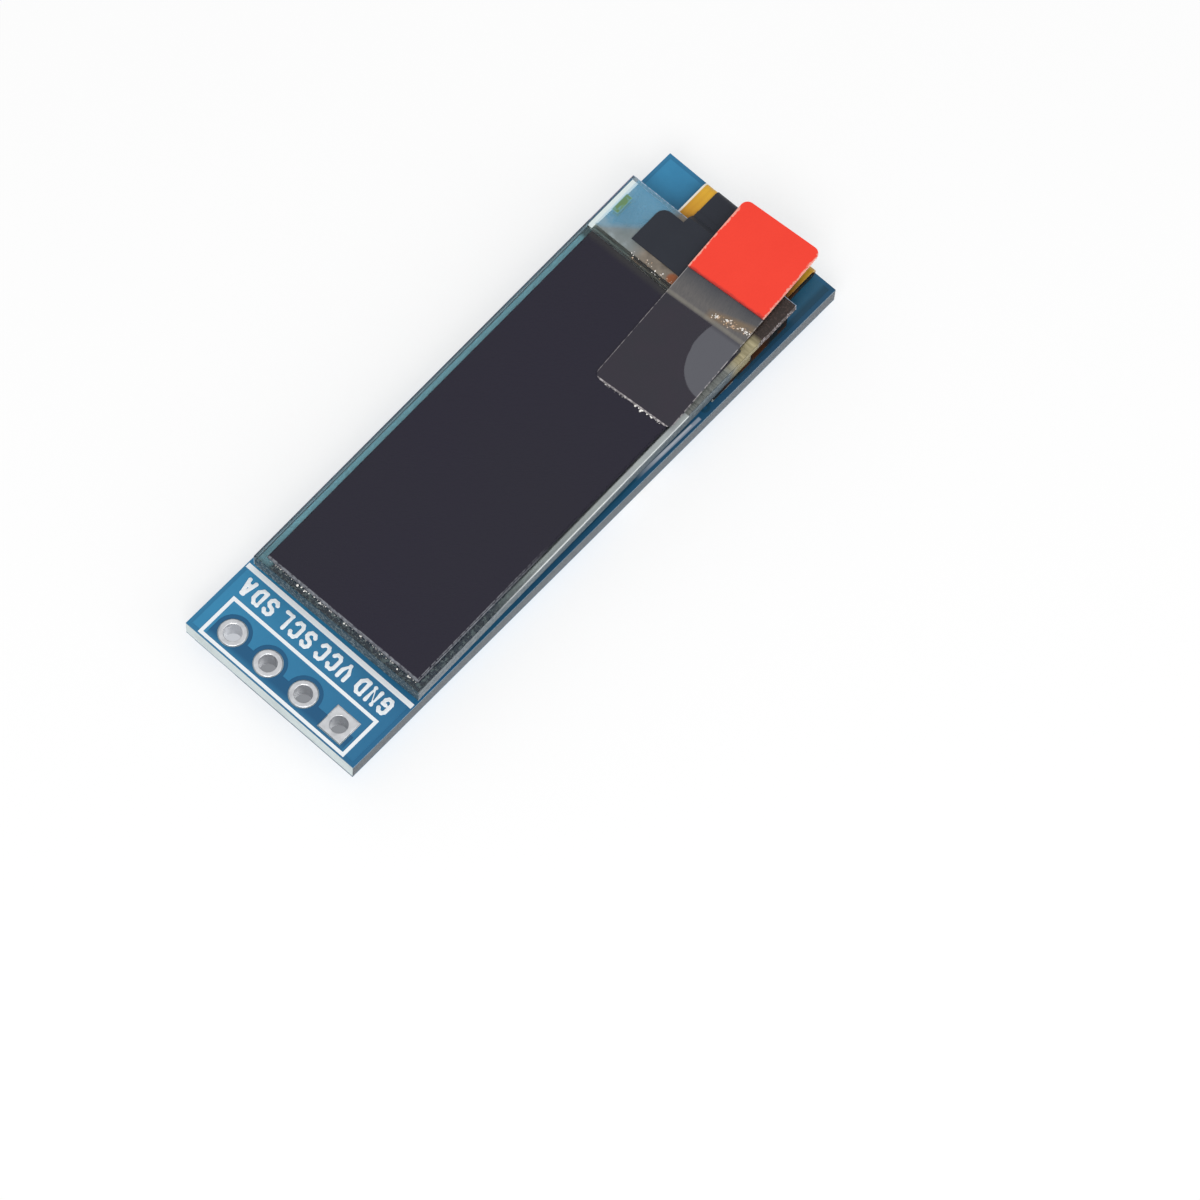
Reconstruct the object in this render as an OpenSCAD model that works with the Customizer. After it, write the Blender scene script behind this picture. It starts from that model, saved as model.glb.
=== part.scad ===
// Small display module. A two-layer glass display panel is stuck with foam tape to
// the front of a blue circuit board. Its flexible cable folds back under the panel
// and is soldered to the board. The other end of the board has a row of four plated
// holes for a pin header. The back carries a regulator, a diode, and rows of chip
// capacitors and resistors. A clear tape with a red tab, for peeling the
// protective film off the display, still lies across the panel's outer end.
//
// Millimetres. The origin is on the axis of pin 1, the hole in the square pad, at
// the laminate's back face. X runs along the board away from the pin edge, Y runs
// across it towards pin 4, and Z points up out of the display.

/* [Board] */
// Length of the board
board_l = 38; // [37.6:0.1:42]
// Width of the board
board_w = 12; // [11.8:0.1:13]
// Thickness of the bare laminate
core_t = 1.15; // [0.6:0.05:1.6]
// Thickness of each copper layer
copper_t = 0.035; // [0.018:0.001:0.07]
// Thickness of the solder mask over copper
mask_t = 0.025; // [0.02:0.005:0.04]
// Height of the mask over copper above the mask over bare laminate
mask_step = 0.015; // [0.005:0.005:0.02]
// Thickness of the printed legend
legend_t = 0.02; // [0.01:0.005:0.03]
// Distance of the copper areas from the board's edges
copper_margin = 0.25; // [0.2:0.05:0.4]
// Gap in the mask around each solder land
mask_gap = 0.05; // [0.03:0.01:0.07]

/* [Pin row] */
// Distance between neighbouring pins
pin_pitch = 2.54; // [2.5:0.01:2.6]
// Distance of the pin row from the board's edge
pin_edge = 1.27; // [1.1:0.01:1.4]
// Diameter of the finished holes
hole_d = 1; // [0.8:0.05:1.1]
// Thickness of the hole's plating
plating_t = 0.04; // [0.02:0.01:0.05]
// Diameter of the round pads and side of the square one
pad_d = 1.55; // [1.4:0.05:1.65]
// Thickness of the tin on the pads
tin_t = 0.02; // [0.01:0.005:0.03]
// Bare laminate around each pad that isn't joined to the copper area
pad_clear = 0.28; // [0.2:0.02:0.34]
// Length of the legend frame around the pin row
pin_frame_l = 2.75; // [2.6:0.05:2.9]
// Distance of the legend frame from the first and last pins
pin_frame_side = 1.4; // [1.2:0.05:1.6]
// Width of the legend frame's line
pin_frame_line = 0.2; // [0.15:0.05:0.25]
// Distance of the legend bar beside the display from the pin edge
bar_x = 4.48; // [4.3:0.02:4.6]
// Width of the legend bar beside the display
bar_line = 0.3; // [0.2:0.05:0.35]
// Distance of the printed lines from the board's edges
legend_edge = 0.08; // [0.04:0.02:0.1]

/* [Vias] */
// Outer diameter of a via's barrel
via_d = 0.35; // [0.3:0.05:0.4]
// Bore of a via's barrel
via_bore = 0.25; // [0.15:0.05:0.25]
// Diameter of a via's copper ring
via_ring = 0.6; // [0.5:0.05:0.65]

/* [Display glass] */
// Distance of the panel's outer end from the board's far end
panel_far = 2.82; // [2.6:0.02:3]
// Width of the front glass and the cap glass
panel_w = 11.6; // [11.2:0.1:12]
// Thickness of each glass
glass_t = 0.5; // [0.4:0.05:0.7]
// Thickness of the seal between the two glasses
seal_t = 0.03; // [0.03:0.01:0.05]
// Width of the seal
seal_w = 1; // [0.6:0.1:1.4]
// Length of the front glass's bare ledge past the cap glass
ledge_l = 3.7; // [3.5:0.1:4]
// Distance of the panel's end from the board's pin edge, on the panel's centre line
panel_start = 4.88; // [4.8:0.02:5.2]
// Distance of the panel's middle from the board's centre line
panel_shift = 0.07; // [-0.3:0.01:0.3]
// Angle at which the panel was stuck on
panel_turn = 1; // [0:0.1:1.2]
// Distance of the light-emitting area from the cap glass's ends
pixels_end = 2.1; // [1.8:0.1:2.6]
// Distance of the light-emitting area from the panel's long edges
pixels_side = 3; // [2.6:0.1:3.2]
// Thickness of the light-emitting layers
pixels_t = 0.02; // [0.01:0.005:0.025]
// Length of the resin bead along the cap glass's end
bead_l = 0.42; // [0.3:0.02:0.5]
// Thickness of the foam tape under the cap glass
foam_t = 0.35; // [0.3:0.05:0.6]
// Distance of the foam tape from the panel's edges
foam_margin = 0.5; // [0.3:0.1:1]

/* [Polariser and films] */
// Thickness of the polariser
polariser_t = 0.18; // [0.12:0.02:0.25]
// Glass between the polariser's outer end and the end of the cap glass
polariser_far = 0.4; // [0.3:0.05:1]
// Clear glass beside each long edge of the polariser, before its shift
polariser_side = 0.5; // [0.4:0.05:0.8]
// Clear glass between the panel's end and the polariser
polariser_start = 0.4; // [0.3:0.05:0.6]
// Sideways shift of the polariser on the glass
polariser_shift = -0.1; // [-0.15:0.01:0.15]
// Thickness of the protective film on the polariser
film_t = 0.05; // [0.03:0.01:0.08]
// Distance of the film's edge from the polariser's
film_inset = 0.06; // [0.02:0.02:0.2]
// Length of the clear peeling tape
tape_l = 13.4; // [12.6:0.05:14]
// Width of the clear peeling tape and its tab
tape_w = 5.1; // [4.5:0.05:5.5]
// Thickness of the clear peeling tape
tape_t = 0.05; // [0.03:0.01:0.08]
// Length of the peeling tape that is stuck to the film
tape_lap = 6.25; // [4:0.05:8]
// Sideways shift of the tape's stuck end on the panel
tape_shift = -3.1; // [-3.2:0.05:0]
// Angle of the peeling tape on the panel
tape_turn = 3.5; // [0:0.1:4]
// Radius of the tape's corners
tape_r = 0.45; // [0.2:0.05:0.8]
// Length of the red tab
tab_l = 5.15; // [4.5:0.05:5.5]
// Thickness of the red tab
tab_t = 0.1; // [0.06:0.02:0.2]

/* [Driver chip and cable] */
// Length of the driver chip, across the panel
chip_l = 6.7; // [6:0.1:7]
// Width of the driver chip, along the panel
chip_w = 0.9; // [0.7:0.05:1]
// Thickness of the driver chip
chip_t = 0.3; // [0.2:0.05:0.35]
// Distance of the driver chip from the cap glass's end
chip_gap = 0.7; // [0.6:0.05:0.8]
// Length of the black shield on the ledge, along the panel
shield_l = 2.6; // [2.4:0.1:2.85]
// Width of the black shield, across the panel
shield_w = 6.8; // [6.4:0.1:8]
// Thickness of the black shield
shield_t = 0.06; // [0.04:0.01:0.1]
// Distance of the black shield from the end of the front glass
shield_end = 0.35; // [0.2:0.05:0.4]
// Sideways shift of the black shield on the panel
shield_shift = -0.05; // [-0.3:0.05:0.3]
// Radius of the black shield's far corners
shield_r = 0.6; // [0.3:0.1:1]
// Gap between the end of the front glass and what passes it
glass_gap = 0.05; // [0.03:0.01:0.1]
// Length of the black shield's slope, from the glass's end down to the cable
drape_l = 0.45; // [0.3:0.05:0.6]
// Length of the black shield that lies on the cable's cover
drape_lap = 0.4; // [0.2:0.05:0.6]
// Width of the flexible cable
flex_w = 7.75; // [7.5:0.05:8.2]
// Thickness of the flexible cable
flex_t = 0.1; // [0.06:0.01:0.12]
// Sideways shift of the cable on the panel
flex_shift = -1.12; // [-1.3:0.01:-0.9]
// Length of the cable's end bonded to the ledge
flex_bond = 1.2; // [0.9:0.1:1.4]
// Distance of the middle of the cable's fold from the board's far end
fold_edge = 0.6; // [0.55:0.05:0.9]
// Gap between the folded cable and the board
flex_gap = 0.02; // [0.01:0.01:0.04]
// Thickness of the cable's black cover layer
cover_t = 0.04; // [0.02:0.01:0.05]
// Width of the cable's black cover layer
cover_w = 6.25; // [5.5:0.05:6.8]
// Sideways shift of the cover layer on the cable
cover_shift = -0.1; // [-0.2:0.05:0.2]
// Length of the cover layer below the fold
cover_tail = 1; // [0.5:0.1:1.5]
// Sideways place of the soldered contacts on the panel
contact_shift = -1.6; // [-1.65:0.01:-1.5]
// Sideways shift of the fan-out vias from their contacts
fan_shift = -0.14; // [-0.16:0.02:0]
// Distance between neighbouring contacts
contact_pitch = 0.62; // [0.58:0.01:0.62]
// Width of each contact's land
contact_w = 0.34; // [0.25:0.01:0.38]
// Length of each contact's land
contact_l = 1.6; // [1.3:0.1:1.8]
// Distance of the contact lands' inner ends from the board's far end
contact_far = 9.5; // [9:0.1:9.6]
// Distance of the tail's shoulder from the cable's fold
shoulder_gap = 3; // [2.6:0.1:3.6]
// Length of the tail's sloping shoulder
shoulder_l = 1.4; // [0.8:0.1:1.6]

/* [Chip capacitors and resistors] */
// Length of a chip
chip_size_l = 1.6; // [1.5:0.02:1.7]
// Width of a chip
chip_size_w = 0.8; // [0.7:0.02:0.86]
// Height of a capacitor
cap_h = 0.8; // [0.6:0.02:0.9]
// Height of a resistor
res_h = 0.45; // [0.35:0.01:0.5]
// Length of a capacitor's metal end
cap_end = 0.38; // [0.25:0.01:0.45]
// Length of a resistor's metal end
res_end = 0.3; // [0.2:0.01:0.35]
// How far the metal ends stand out of the chip's body
end_proud = 0.015; // [0.01:0.005:0.025]
// Length of a solder fillet past the chip's end
fillet_l = 0.4; // [0.3:0.02:0.44]
// Width of a solder land
land_w = 0.86; // [0.8:0.02:0.9]
// Length of the solder land under the chip's end
land_in = 0.35; // [0.3:0.02:0.4]
// Thickness of solder between a land and what stands on it
solder_t = 0.03; // [0.02:0.01:0.05]

/* [Places on the back] */
// Distance of the long row of chips from the board's far end
row_far = 14.95; // [14.8:0.05:15.1]
// Distance between neighbours in the long row
row_pitch = 1.475; // [1.4:0.005:1.48]
// Distance of the framed group from the pin edge
group_x = 15.63; // [15.5:0.05:15.7]
// Distance between neighbours in the framed group
group_pitch = 1.3; // [1.28:0.01:1.34]
// Sideways place of the framed group's middle
group_y = 0.15; // [0:0.05:0.3]
// Width of the legend lines on the back
back_line = 0.22; // [0.15:0.01:0.26]
// Gap between the solder lands and the printed frames
legend_gap = 0.17; // [0.12:0.01:0.2]
// Distance of the regulator from the pin edge
reg_x = 8.55; // [8.4:0.05:8.7]
// Sideways place of the regulator
reg_y = 1.5; // [1.4:0.05:1.6]
// Width of a signal track
track_w = 0.28; // [0.2:0.02:0.3]

/* [Regulator and diode] */
// Length of the regulator's body, across the board
reg_l = 2.9; // [2.7:0.05:3.1]
// Width of the regulator's body, along the board
reg_w = 1.3; // [1.2:0.05:1.5]
// Height of the regulator's body
reg_h = 1; // [0.9:0.02:1.1]
// Gap under the regulator's body
reg_stand = 0.08; // [0.04:0.01:0.1]
// Distance between the regulator's paired leads
reg_pitch = 1.9; // [1.8:0.05:2]
// Width of a regulator lead
reg_lead_w = 0.42; // [0.35:0.01:0.5]
// Span of the regulator over the ends of its leads
reg_span = 2.5; // [2.3:0.05:2.7]
// Length of the diode's body
diode_l = 1.6; // [1.5:0.05:1.6]
// Width of the diode's body
diode_w = 1.1; // [1:0.02:1.14]
// Height of the diode's body
diode_h = 0.9; // [0.8:0.02:1]
// Span of the diode over the ends of its leads
diode_span = 2.4; // [2.4:0.05:2.5]
// Width of a diode lead
diode_lead_w = 0.34; // [0.25:0.01:0.4]
// Thickness of the leads
lead_t = 0.12; // [0.1:0.01:0.15]
// Slope of the moulded bodies' sides
draft = 7; // [4:1:10]

/* [Hidden] */
$fn = 48;
eps = 0.01;
half_w = board_w / 2;
pour_w = half_w - copper_margin;
face_t = copper_t + mask_t;
bare_t = face_t - mask_step;
barrel_d = hole_d + 2 * plating_t;
pad_t = copper_t + tin_t;
pin_y = [for (i = [0:3]) (i - 1.5) * pin_pitch];
pin_frame_w = 3 * pin_pitch + 2 * pin_frame_side;

// heights above the board's front face
cap_z = foam_t;
seal_z = cap_z + glass_t;
front_z = seal_z + seal_t;
ledge_z = front_z + glass_t;
film_z = ledge_z + polariser_t;
tape_z = film_z + film_t;
tab_z = tape_z + tape_t;

// places on the panel, measured from its end nearest the pins
panel_l = board_l - panel_start - panel_far;
cap_l = panel_l - ledge_l;
polariser_l = cap_l - polariser_start - polariser_far;
polariser_w = panel_w - 2 * polariser_side;
tape_start = polariser_start + polariser_l - tape_lap;
shield_start = panel_l - shield_end - shield_l;
fold_u = board_l - fold_edge - panel_start;
contact_x = board_l - contact_far;
tail_u = contact_x - panel_start;
shoulder_u = fold_u - shoulder_gap;
foam_end = tail_u - 1.3;
flex_low = flex_gap + cover_t;
joint_in = 0.1;
joint_w = contact_w - 0.06;
fold_r = (front_z - flex_low) / 2;
fold_z = (front_z + flex_low) / 2;

// the cable's contacts, measured on the board
contact_n = 14;
contact_mid = contact_x + contact_l / 2 - panel_start - panel_l / 2;
contact_y = panel_shift + contact_shift + contact_mid * sin(panel_turn);
function contact_pos(i) = contact_y + (i - (contact_n - 1) / 2) * contact_pitch;
contact_half = (contact_n - 1) / 2 * contact_pitch + contact_w / 2;

// fan-out vias of the cable: contact number and column
fan_vias = [[0, 1], [1, 0], [2, 1], [3, 0], [4, 1], [6, 1], [7, 0], [11, 1], [12, 0], [13, 1]];
fan_x = [contact_x - 1.2, contact_x - 0.55];

row_x = board_l - row_far;
row_n = 8;
row_y = [for (i = [0:row_n - 1]) ((row_n - 1) / 2 - i) * row_pitch];
row_is_resistor = [false, false, false, false, true, false, false, false];
row_bar = chip_size_l / 2 + fillet_l + mask_gap + legend_gap;
group_n = 5;
group_yb = [for (i = [0:group_n - 1]) group_y + ((group_n - 1) / 2 - i) * group_pitch];
group_half_w = group_n * group_pitch / 2 + 0.06;
land_l = land_in + fillet_l;
land_mid = chip_size_l / 2 + (fillet_l - land_in) / 2;
reg_foot = 0.4;
reg_lead_x = (reg_span - reg_foot) / 2;

// tracks from the pins and the other vias, seen from the back
pin_tracks = [-pin_y[1] + 0.08, -pin_y[2] + 0.12, -pin_y[3] + 0.03];
middle_via = [reg_x - 0.1, pin_tracks[1]];
reg_via = [reg_x + 2.15, reg_y - reg_pitch / 2 + 0.1];
group_via_x = group_x + 2.22;
group_vias = [[group_via_x, group_yb[0] + 0.15], [group_via_x, group_yb[3] - 0.05],
    [group_via_x, group_yb[4] + 0.1]];
patch_vias = [[row_x + 2.2, 1.2], [row_x + 2, 2.1]];
back_vias = concat([middle_via, reg_via], group_vias, patch_vias);

// ---- frames ----

// board frame: X from the pin edge, Y from the centre line, Z from the back face
module on_board() translate([-pin_edge, 1.5 * pin_pitch, 0]) children();

// front frame: Z from the laminate's front face
module on_front() on_board() translate([0, 0, core_t]) children();

// back frame, seen from the back: Z away from the laminate's back face
module on_back() on_board() rotate([180, 0, 0]) children();

// panel frame: X from the panel's pin-side end, Y from its centre line, Z from the
// mask's front face
module on_panel()
    on_front()
        translate([panel_start + panel_l / 2, panel_shift, face_t])
            rotate([0, 0, panel_turn])
                translate([-panel_l / 2, 0, 0]) children();

// tape frame: X from the tape's stuck end, along its centre line
module on_tape()
    on_panel() translate([tape_start, tape_shift, 0]) rotate([0, 0, tape_turn]) children();

// ---- shapes ----

// plate from (x0, -w / 2) to (x0 + l, w / 2), standing on z0
module plate(x0, l, w, z0, t) translate([x0, -w / 2, z0]) cube([l, w, t]);

// rectangle about the origin with true round corners
module round_rect(l, w, r) {
    square([l - 2 * r, w], center = true);
    square([l, w - 2 * r], center = true);
    for (x = [-1, 1], y = [-1, 1])
        translate([x * (l / 2 - r), y * (w / 2 - r)]) circle(r);
}

// rectangle about the origin whose two far corners are round
module far_round(l, w, r) {
    round_rect(l, w, r);
    translate([-l / 2, -w / 2]) square([l - r, w]);
}

// track between two points
module track(a, b, w = track_w) {
    d = b - a;
    translate(a) rotate(atan2(d[1], d[0])) translate([0, -w / 2]) square([norm(d), w]);
    for (p = [a, b]) translate(p) circle(d = w);
}

// track through a list of points
module route(points, w = track_w)
    for (i = [0:len(points) - 2]) track(points[i], points[i + 1], w);

// arc of a strip: inner radius r, thickness t, from angle a0 to a1 (up to 180 apart)
module strip_arc(r, t, a0, a1) {
    far = 2 * (r + t);
    mid = (a0 + a1) / 2;
    intersection() {
        difference() {
            circle(r + t);
            circle(r);
        }
        polygon([[0, 0], far * [cos(a0), sin(a0)], far * [cos(mid), sin(mid)],
            far * [cos(a1), sin(a1)]]);
    }
}

// block with sloping sides that is widest at height mid
module moulded(l, w, h, mid) {
    top = (h - mid) * tan(draft);
    low = mid * tan(draft);
    intersection() {
        rotate([90, 0, 0])
            linear_extrude(w + 2, center = true)
                polygon([[-l / 2 + low, 0], [l / 2 - low, 0], [l / 2, mid],
                    [l / 2 - top, h], [-l / 2 + top, h], [-l / 2, mid]]);
        rotate([90, 0, 90])
            linear_extrude(l + 2, center = true)
                polygon([[-w / 2 + low, 0], [w / 2 - low, 0], [w / 2, mid],
                    [w / 2 - top, h], [-w / 2 + top, h], [-w / 2, mid]]);
    }
}

// solder fillet: rises along +X to height h at x = 0, with rounded plan corners
module fillet(l, w, h) {
    intersection() {
        rotate([90, 0, 0])
            linear_extrude(w + 1, center = true)
                difference() {
                    translate([-l, 0]) square([l, h]);
                    translate([-l, h]) hollow_arc(l * 0.93, h * 0.88);
                }
        translate([-l / 2 + 0.1, 0, -eps])
            linear_extrude(h + 1) round_rect(l + 0.2, w, min(0.12, l / 3));
    }
}

// the curved hollow of a fillet, as a circle through its toe and its crest
module hollow_arc(a, b) {
    r = (a * a + b * b) / (2 * b);
    translate([0, r - b]) circle(r);
}

// ---- board ----

module pin_holes_2d(d)
    for (y = pin_y) translate([pin_edge, y]) circle(d = d);

function fan_via_pos(v) = [fan_x[v[1]], contact_pos(v[0]) + fan_shift];
function flipped(p) = [p[0], -p[1]];
all_vias = concat([for (v = fan_vias) fan_via_pos(v)], [for (p = back_vias) flipped(p)]);

module at_vias()
    for (p = all_vias) translate(p) children();

module laminate_core()
    color([0.78, 0.8, 0.7]) on_board()
        linear_extrude(core_t)
            difference() {
                translate([0, -half_w]) square([board_l, board_w]);
                pin_holes_2d(barrel_d);
                at_vias() circle(d = via_d);
            }

module vias()
    color([0.8, 0.5, 0.3]) on_board()
        linear_extrude(core_t)
            at_vias() difference() {
                circle(d = via_d);
                circle(d = via_bore);
            }

// one plated hole: barrel, and a tinned pad on each face
module plated_hole(i)
    on_board() translate([pin_edge, pin_y[i], 0])
        difference() {
            union() {
                translate([0, 0, -pad_t]) cylinder(d = barrel_d, h = core_t + 2 * pad_t);
                for (z = [-pad_t, core_t])
                    translate([0, 0, z]) linear_extrude(pad_t) pad_2d(i);
            }
            translate([0, 0, -1]) cylinder(d = hole_d, h = core_t + 2);
        }

module pad_2d(i, grow = 0)
    if (i == 0) square(pad_d + 2 * grow, center = true);
    else circle(d = pad_d + 2 * grow);

module hole_gnd() color([0.75, 0.75, 0.73]) plated_hole(0);
module hole_vcc() color([0.75, 0.75, 0.73]) plated_hole(1);
module hole_scl() color([0.75, 0.75, 0.73]) plated_hole(2);
module hole_sda() color([0.75, 0.75, 0.73]) plated_hole(3);

module all_pads_2d(grow = 0)
    for (i = [0:3]) translate([pin_edge, pin_y[i]]) pad_2d(i, grow);

// ---- front copper, mask and legend ----

land_lap = 0.2;
fan_track_w = 0.2;

// the lands that the cable is soldered to
module contact_lands_2d(grow = 0)
    for (i = [0:contact_n - 1])
        translate([contact_x - grow, contact_pos(i) - contact_w / 2 - grow])
            square([contact_l + 2 * grow, contact_w + 2 * grow]);

// two tracks under the panel, from the group's vias to contacts 9 and 10
bus_routes = [for (i = [1, 2])
    let (start = flipped(group_vias[i]), y = contact_pos(8 + i))
        [start, [start[0] + start[1] - y, y], [contact_x + land_lap, y]]];

module front_area_2d() {
    row_inset = 0.35;
    fan_clear = 0.6;
    difference() {
        translate([copper_margin, -pour_w]) square([board_l - 2 * copper_margin, 2 * pour_w]);
        for (i = [1:3]) translate([pin_edge, pin_y[i]]) circle(d = pad_d + 2 * pad_clear);
        translate([0, -pin_frame_w / 2 + row_inset])
            square([pin_edge, pin_frame_w - 2 * row_inset]);
        translate([fan_x[0] - fan_clear, contact_pos(0) - fan_clear])
            square([contact_x + contact_l + fan_clear / 2 - fan_x[0] + fan_clear,
                contact_pos(contact_n - 1) - contact_pos(0) + 2 * fan_clear]);
        for (r = bus_routes) route(r, track_w + 2 * pad_clear);
        all_pads_2d();
    }
}

module copper_front_2d()
    difference() {
        union() {
            front_area_2d();
            contact_lands_2d();
            for (v = fan_vias)
                track(fan_via_pos(v), [contact_x + land_lap, contact_pos(v[0])], fan_track_w);
            for (r = bus_routes) route(r);
            at_vias() circle(d = via_ring);
        }
        at_vias() circle(d = via_bore);
    }

module copper_front()
    color([0.85, 0.55, 0.35]) on_front() linear_extrude(copper_t) copper_front_2d();

// a mask layer: it covers the bare laminate, steps up over the copper, which is
// passed as child 0, and is open over the pads and lands, which are child 1
module mask_layer() {
    difference() {
        union() {
            linear_extrude(bare_t) translate([0, -half_w]) square([board_l, board_w]);
            linear_extrude(face_t) children(0);
        }
        translate([0, 0, -eps]) linear_extrude(copper_t + eps) children(0);
        translate([0, 0, -1]) linear_extrude(2) children(1);
    }
}

module solder_mask_front()
    color([0.12, 0.42, 0.65]) on_front() mask_layer() {
        copper_front_2d();
        union() {
            contact_lands_2d(mask_gap);
            all_pads_2d(mask_gap);
        }
    }

module frame_2d(l, w, line)
    difference() {
        square([l, w], center = true);
        square([l - 2 * line, w - 2 * line], center = true);
    }

module legend_front_2d() {
    translate([legend_edge + pin_frame_l / 2, 0])
        frame_2d(pin_frame_l, pin_frame_w, pin_frame_line);
    translate([bar_x, -half_w + legend_edge]) square([bar_line, board_w - 2 * legend_edge]);
}

// printed lines lie on the mask and follow its steps
module legend_layer() {
    difference() {
        translate([0, 0, bare_t]) linear_extrude(face_t + legend_t - bare_t) children(0);
        linear_extrude(face_t) intersection() {
            children(0);
            children(1);
        }
    }
}

module legend_front()
    color([0.93, 0.95, 0.95]) on_front() legend_layer() {
        legend_front_2d();
        copper_front_2d();
    }

// ---- back copper, mask and legend, seen from the back ----

module chip_lands_2d(x, y, grow = 0)
    for (s = [-1, 1])
        translate([x + s * land_mid, y])
            square([land_l + 2 * grow, land_w + 2 * grow], center = true);

module land_2d(x, y, size, grow)
    translate([x, y]) square([size[0] + 2 * grow, size[1] + 2 * grow], center = true);

// where the diode and the regulator have their lands
diode_land = [0.7, 0.7];
diode_land_x = diode_span / 2 - 0.15;
reg_land = [0.8, 0.9];
reg_land_x = reg_lead_x + 0.05;

module back_lands_2d(grow = 0) {
    for (y = row_y) chip_lands_2d(row_x, y, grow);
    for (i = [0, 2, 3, 4]) chip_lands_2d(group_x, group_yb[i], grow);
    for (s = [-1, 1]) {
        land_2d(group_x + s * diode_land_x, group_yb[1], diode_land, grow);
        land_2d(reg_x + reg_land_x, reg_y + s * reg_pitch / 2, reg_land, grow);
    }
    land_2d(reg_x - reg_land_x, reg_y, reg_land, grow);
}

// tracks from the long row to the fan-out vias: chip, via and distance of the bend
row_routes = [[0, 0, 1.85], [1, 2, 1.55], [4, 7, 2.05], [5, 8, 1.55], [6, 9, 3.73]];

function row_route(r) =
    let (via = flipped(fan_via_pos(fan_vias[r[1]])), y = row_y[r[0]], bend = row_x + r[2])
        [[row_x + land_mid, y], [bend, y], [bend + abs(via[1] - y), via[1]], via];

// copper areas from the regulator to the long row and along the lower edge
module wide_areas_2d(box_lo, box_r, gap) {
    row_l = row_x - row_bar - 0.1;
    shoulder = [row_l - 1.5, 3.8];
    step_x = group_x - 0.13;
    start_x = reg_x + 0.23;
    step_y = box_lo + 0.1;
    step_bend = 0.6;
    low_y = box_lo - 0.05;
    end_x = box_r + 0.5;
    split = [0.05, -0.32];
    lower = pin_tracks[2] - gap;
    polygon([[start_x, pour_w], [start_x, step_y], [step_x - step_bend, step_y],
        [step_x, step_y + step_bend], [step_x, split[0]],
        [row_l, split[0]], [row_l, shoulder[1]], shoulder,
        [shoulder[0] - (pour_w - shoulder[1]), pour_w]]);
    polygon([[copper_margin, -pour_w], [copper_margin, lower], [step_x - 0.4, lower],
        [step_x + step_bend, low_y], [end_x, low_y], [end_x, split[1]],
        [row_l, split[1]], [row_l, -pour_w]]);
}

// copper area past the long row, with two round lobes at its end
module patch_2d() {
    start = row_x + row_bar + 0.05;
    low = 0.2;
    high = 3.1;
    lobe = 0.42;
    translate([start, low]) square([contact_x - lobe - start, high - low]);
    for (y = [low + lobe, high - lobe]) translate([contact_x - lobe, y]) circle(lobe);
}

module back_tracks_2d() {
    // from the pins
    route([[pin_edge, pin_tracks[0]], [reg_x - reg_lead_x, pin_tracks[0]]]);
    route([[pin_edge, pin_tracks[1]], middle_via]);
    route([[pin_edge, pin_tracks[2]], [group_x - 0.58, pin_tracks[2]],
        [group_x + land_mid, group_yb[4]]]);
    // to the vias beside the regulator and the framed group, and to the fan-out vias
    route([[reg_x + reg_lead_x, reg_y - reg_pitch / 2], reg_via]);
    for (v = [[0, 0], [3, 1], [4, 2]])
        route([[group_x + land_mid, group_yb[v[0]]], group_vias[v[1]]]);
    for (r = row_routes) route(row_route(r), 0.24);
}

module back_areas_2d() {
    box_lo = group_y - group_half_w;
    box_r = group_x + row_bar;
    gap = track_w / 2 + 0.3;
    via_clear = via_ring / 2 + 0.2;
    difference() {
        union() {
            // ground area round the square pad
            translate([copper_margin, pin_tracks[0] + gap])
                square([reg_x - 0.15 - copper_margin, pour_w - pin_tracks[0] - gap]);
            // area between the first two tracks
            translate([pin_edge, pin_tracks[1] + gap])
                square([reg_x - 0.2 - pin_edge, pin_tracks[0] - pin_tracks[1] - 2 * gap]);
            wide_areas_2d(box_lo, box_r, gap);
            patch_2d();
        }
        // clearances: pads, the framed group, the regulator's pocket and vias
        for (i = [1:3]) translate([pin_edge, -pin_y[i]]) circle(d = pad_d + 2 * pad_clear);
        translate([group_x - row_bar, box_lo]) square([2 * row_bar, 2 * group_half_w]);
        for (p = concat(group_vias, [reg_via, flipped(fan_via_pos(fan_vias[5]))]))
            translate(p) circle(via_clear);
        translate([reg_x - 0.35, reg_y - reg_l / 2 - 0.45]) square([2.2, reg_l + 0.8]);
        translate(reg_via - [0.5, 0.55]) square([0.5, 1.1]);
    }
}

module copper_back_2d()
    difference() {
        union() {
            back_areas_2d();
            back_lands_2d();
            back_tracks_2d();
            for (p = all_vias) translate(flipped(p)) circle(d = via_ring);
        }
        mirror([0, 1]) all_pads_2d();
        for (p = all_vias) translate(flipped(p)) circle(d = via_bore);
    }

module copper_back()
    color([0.85, 0.55, 0.35]) on_back()
        linear_extrude(copper_t) copper_back_2d();

module solder_mask_back()
    color([0.12, 0.42, 0.65]) on_back() mask_layer() {
        copper_back_2d();
        union() {
            back_lands_2d(mask_gap);
            mirror([0, 1]) all_pads_2d(mask_gap);
        }
    }

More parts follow.
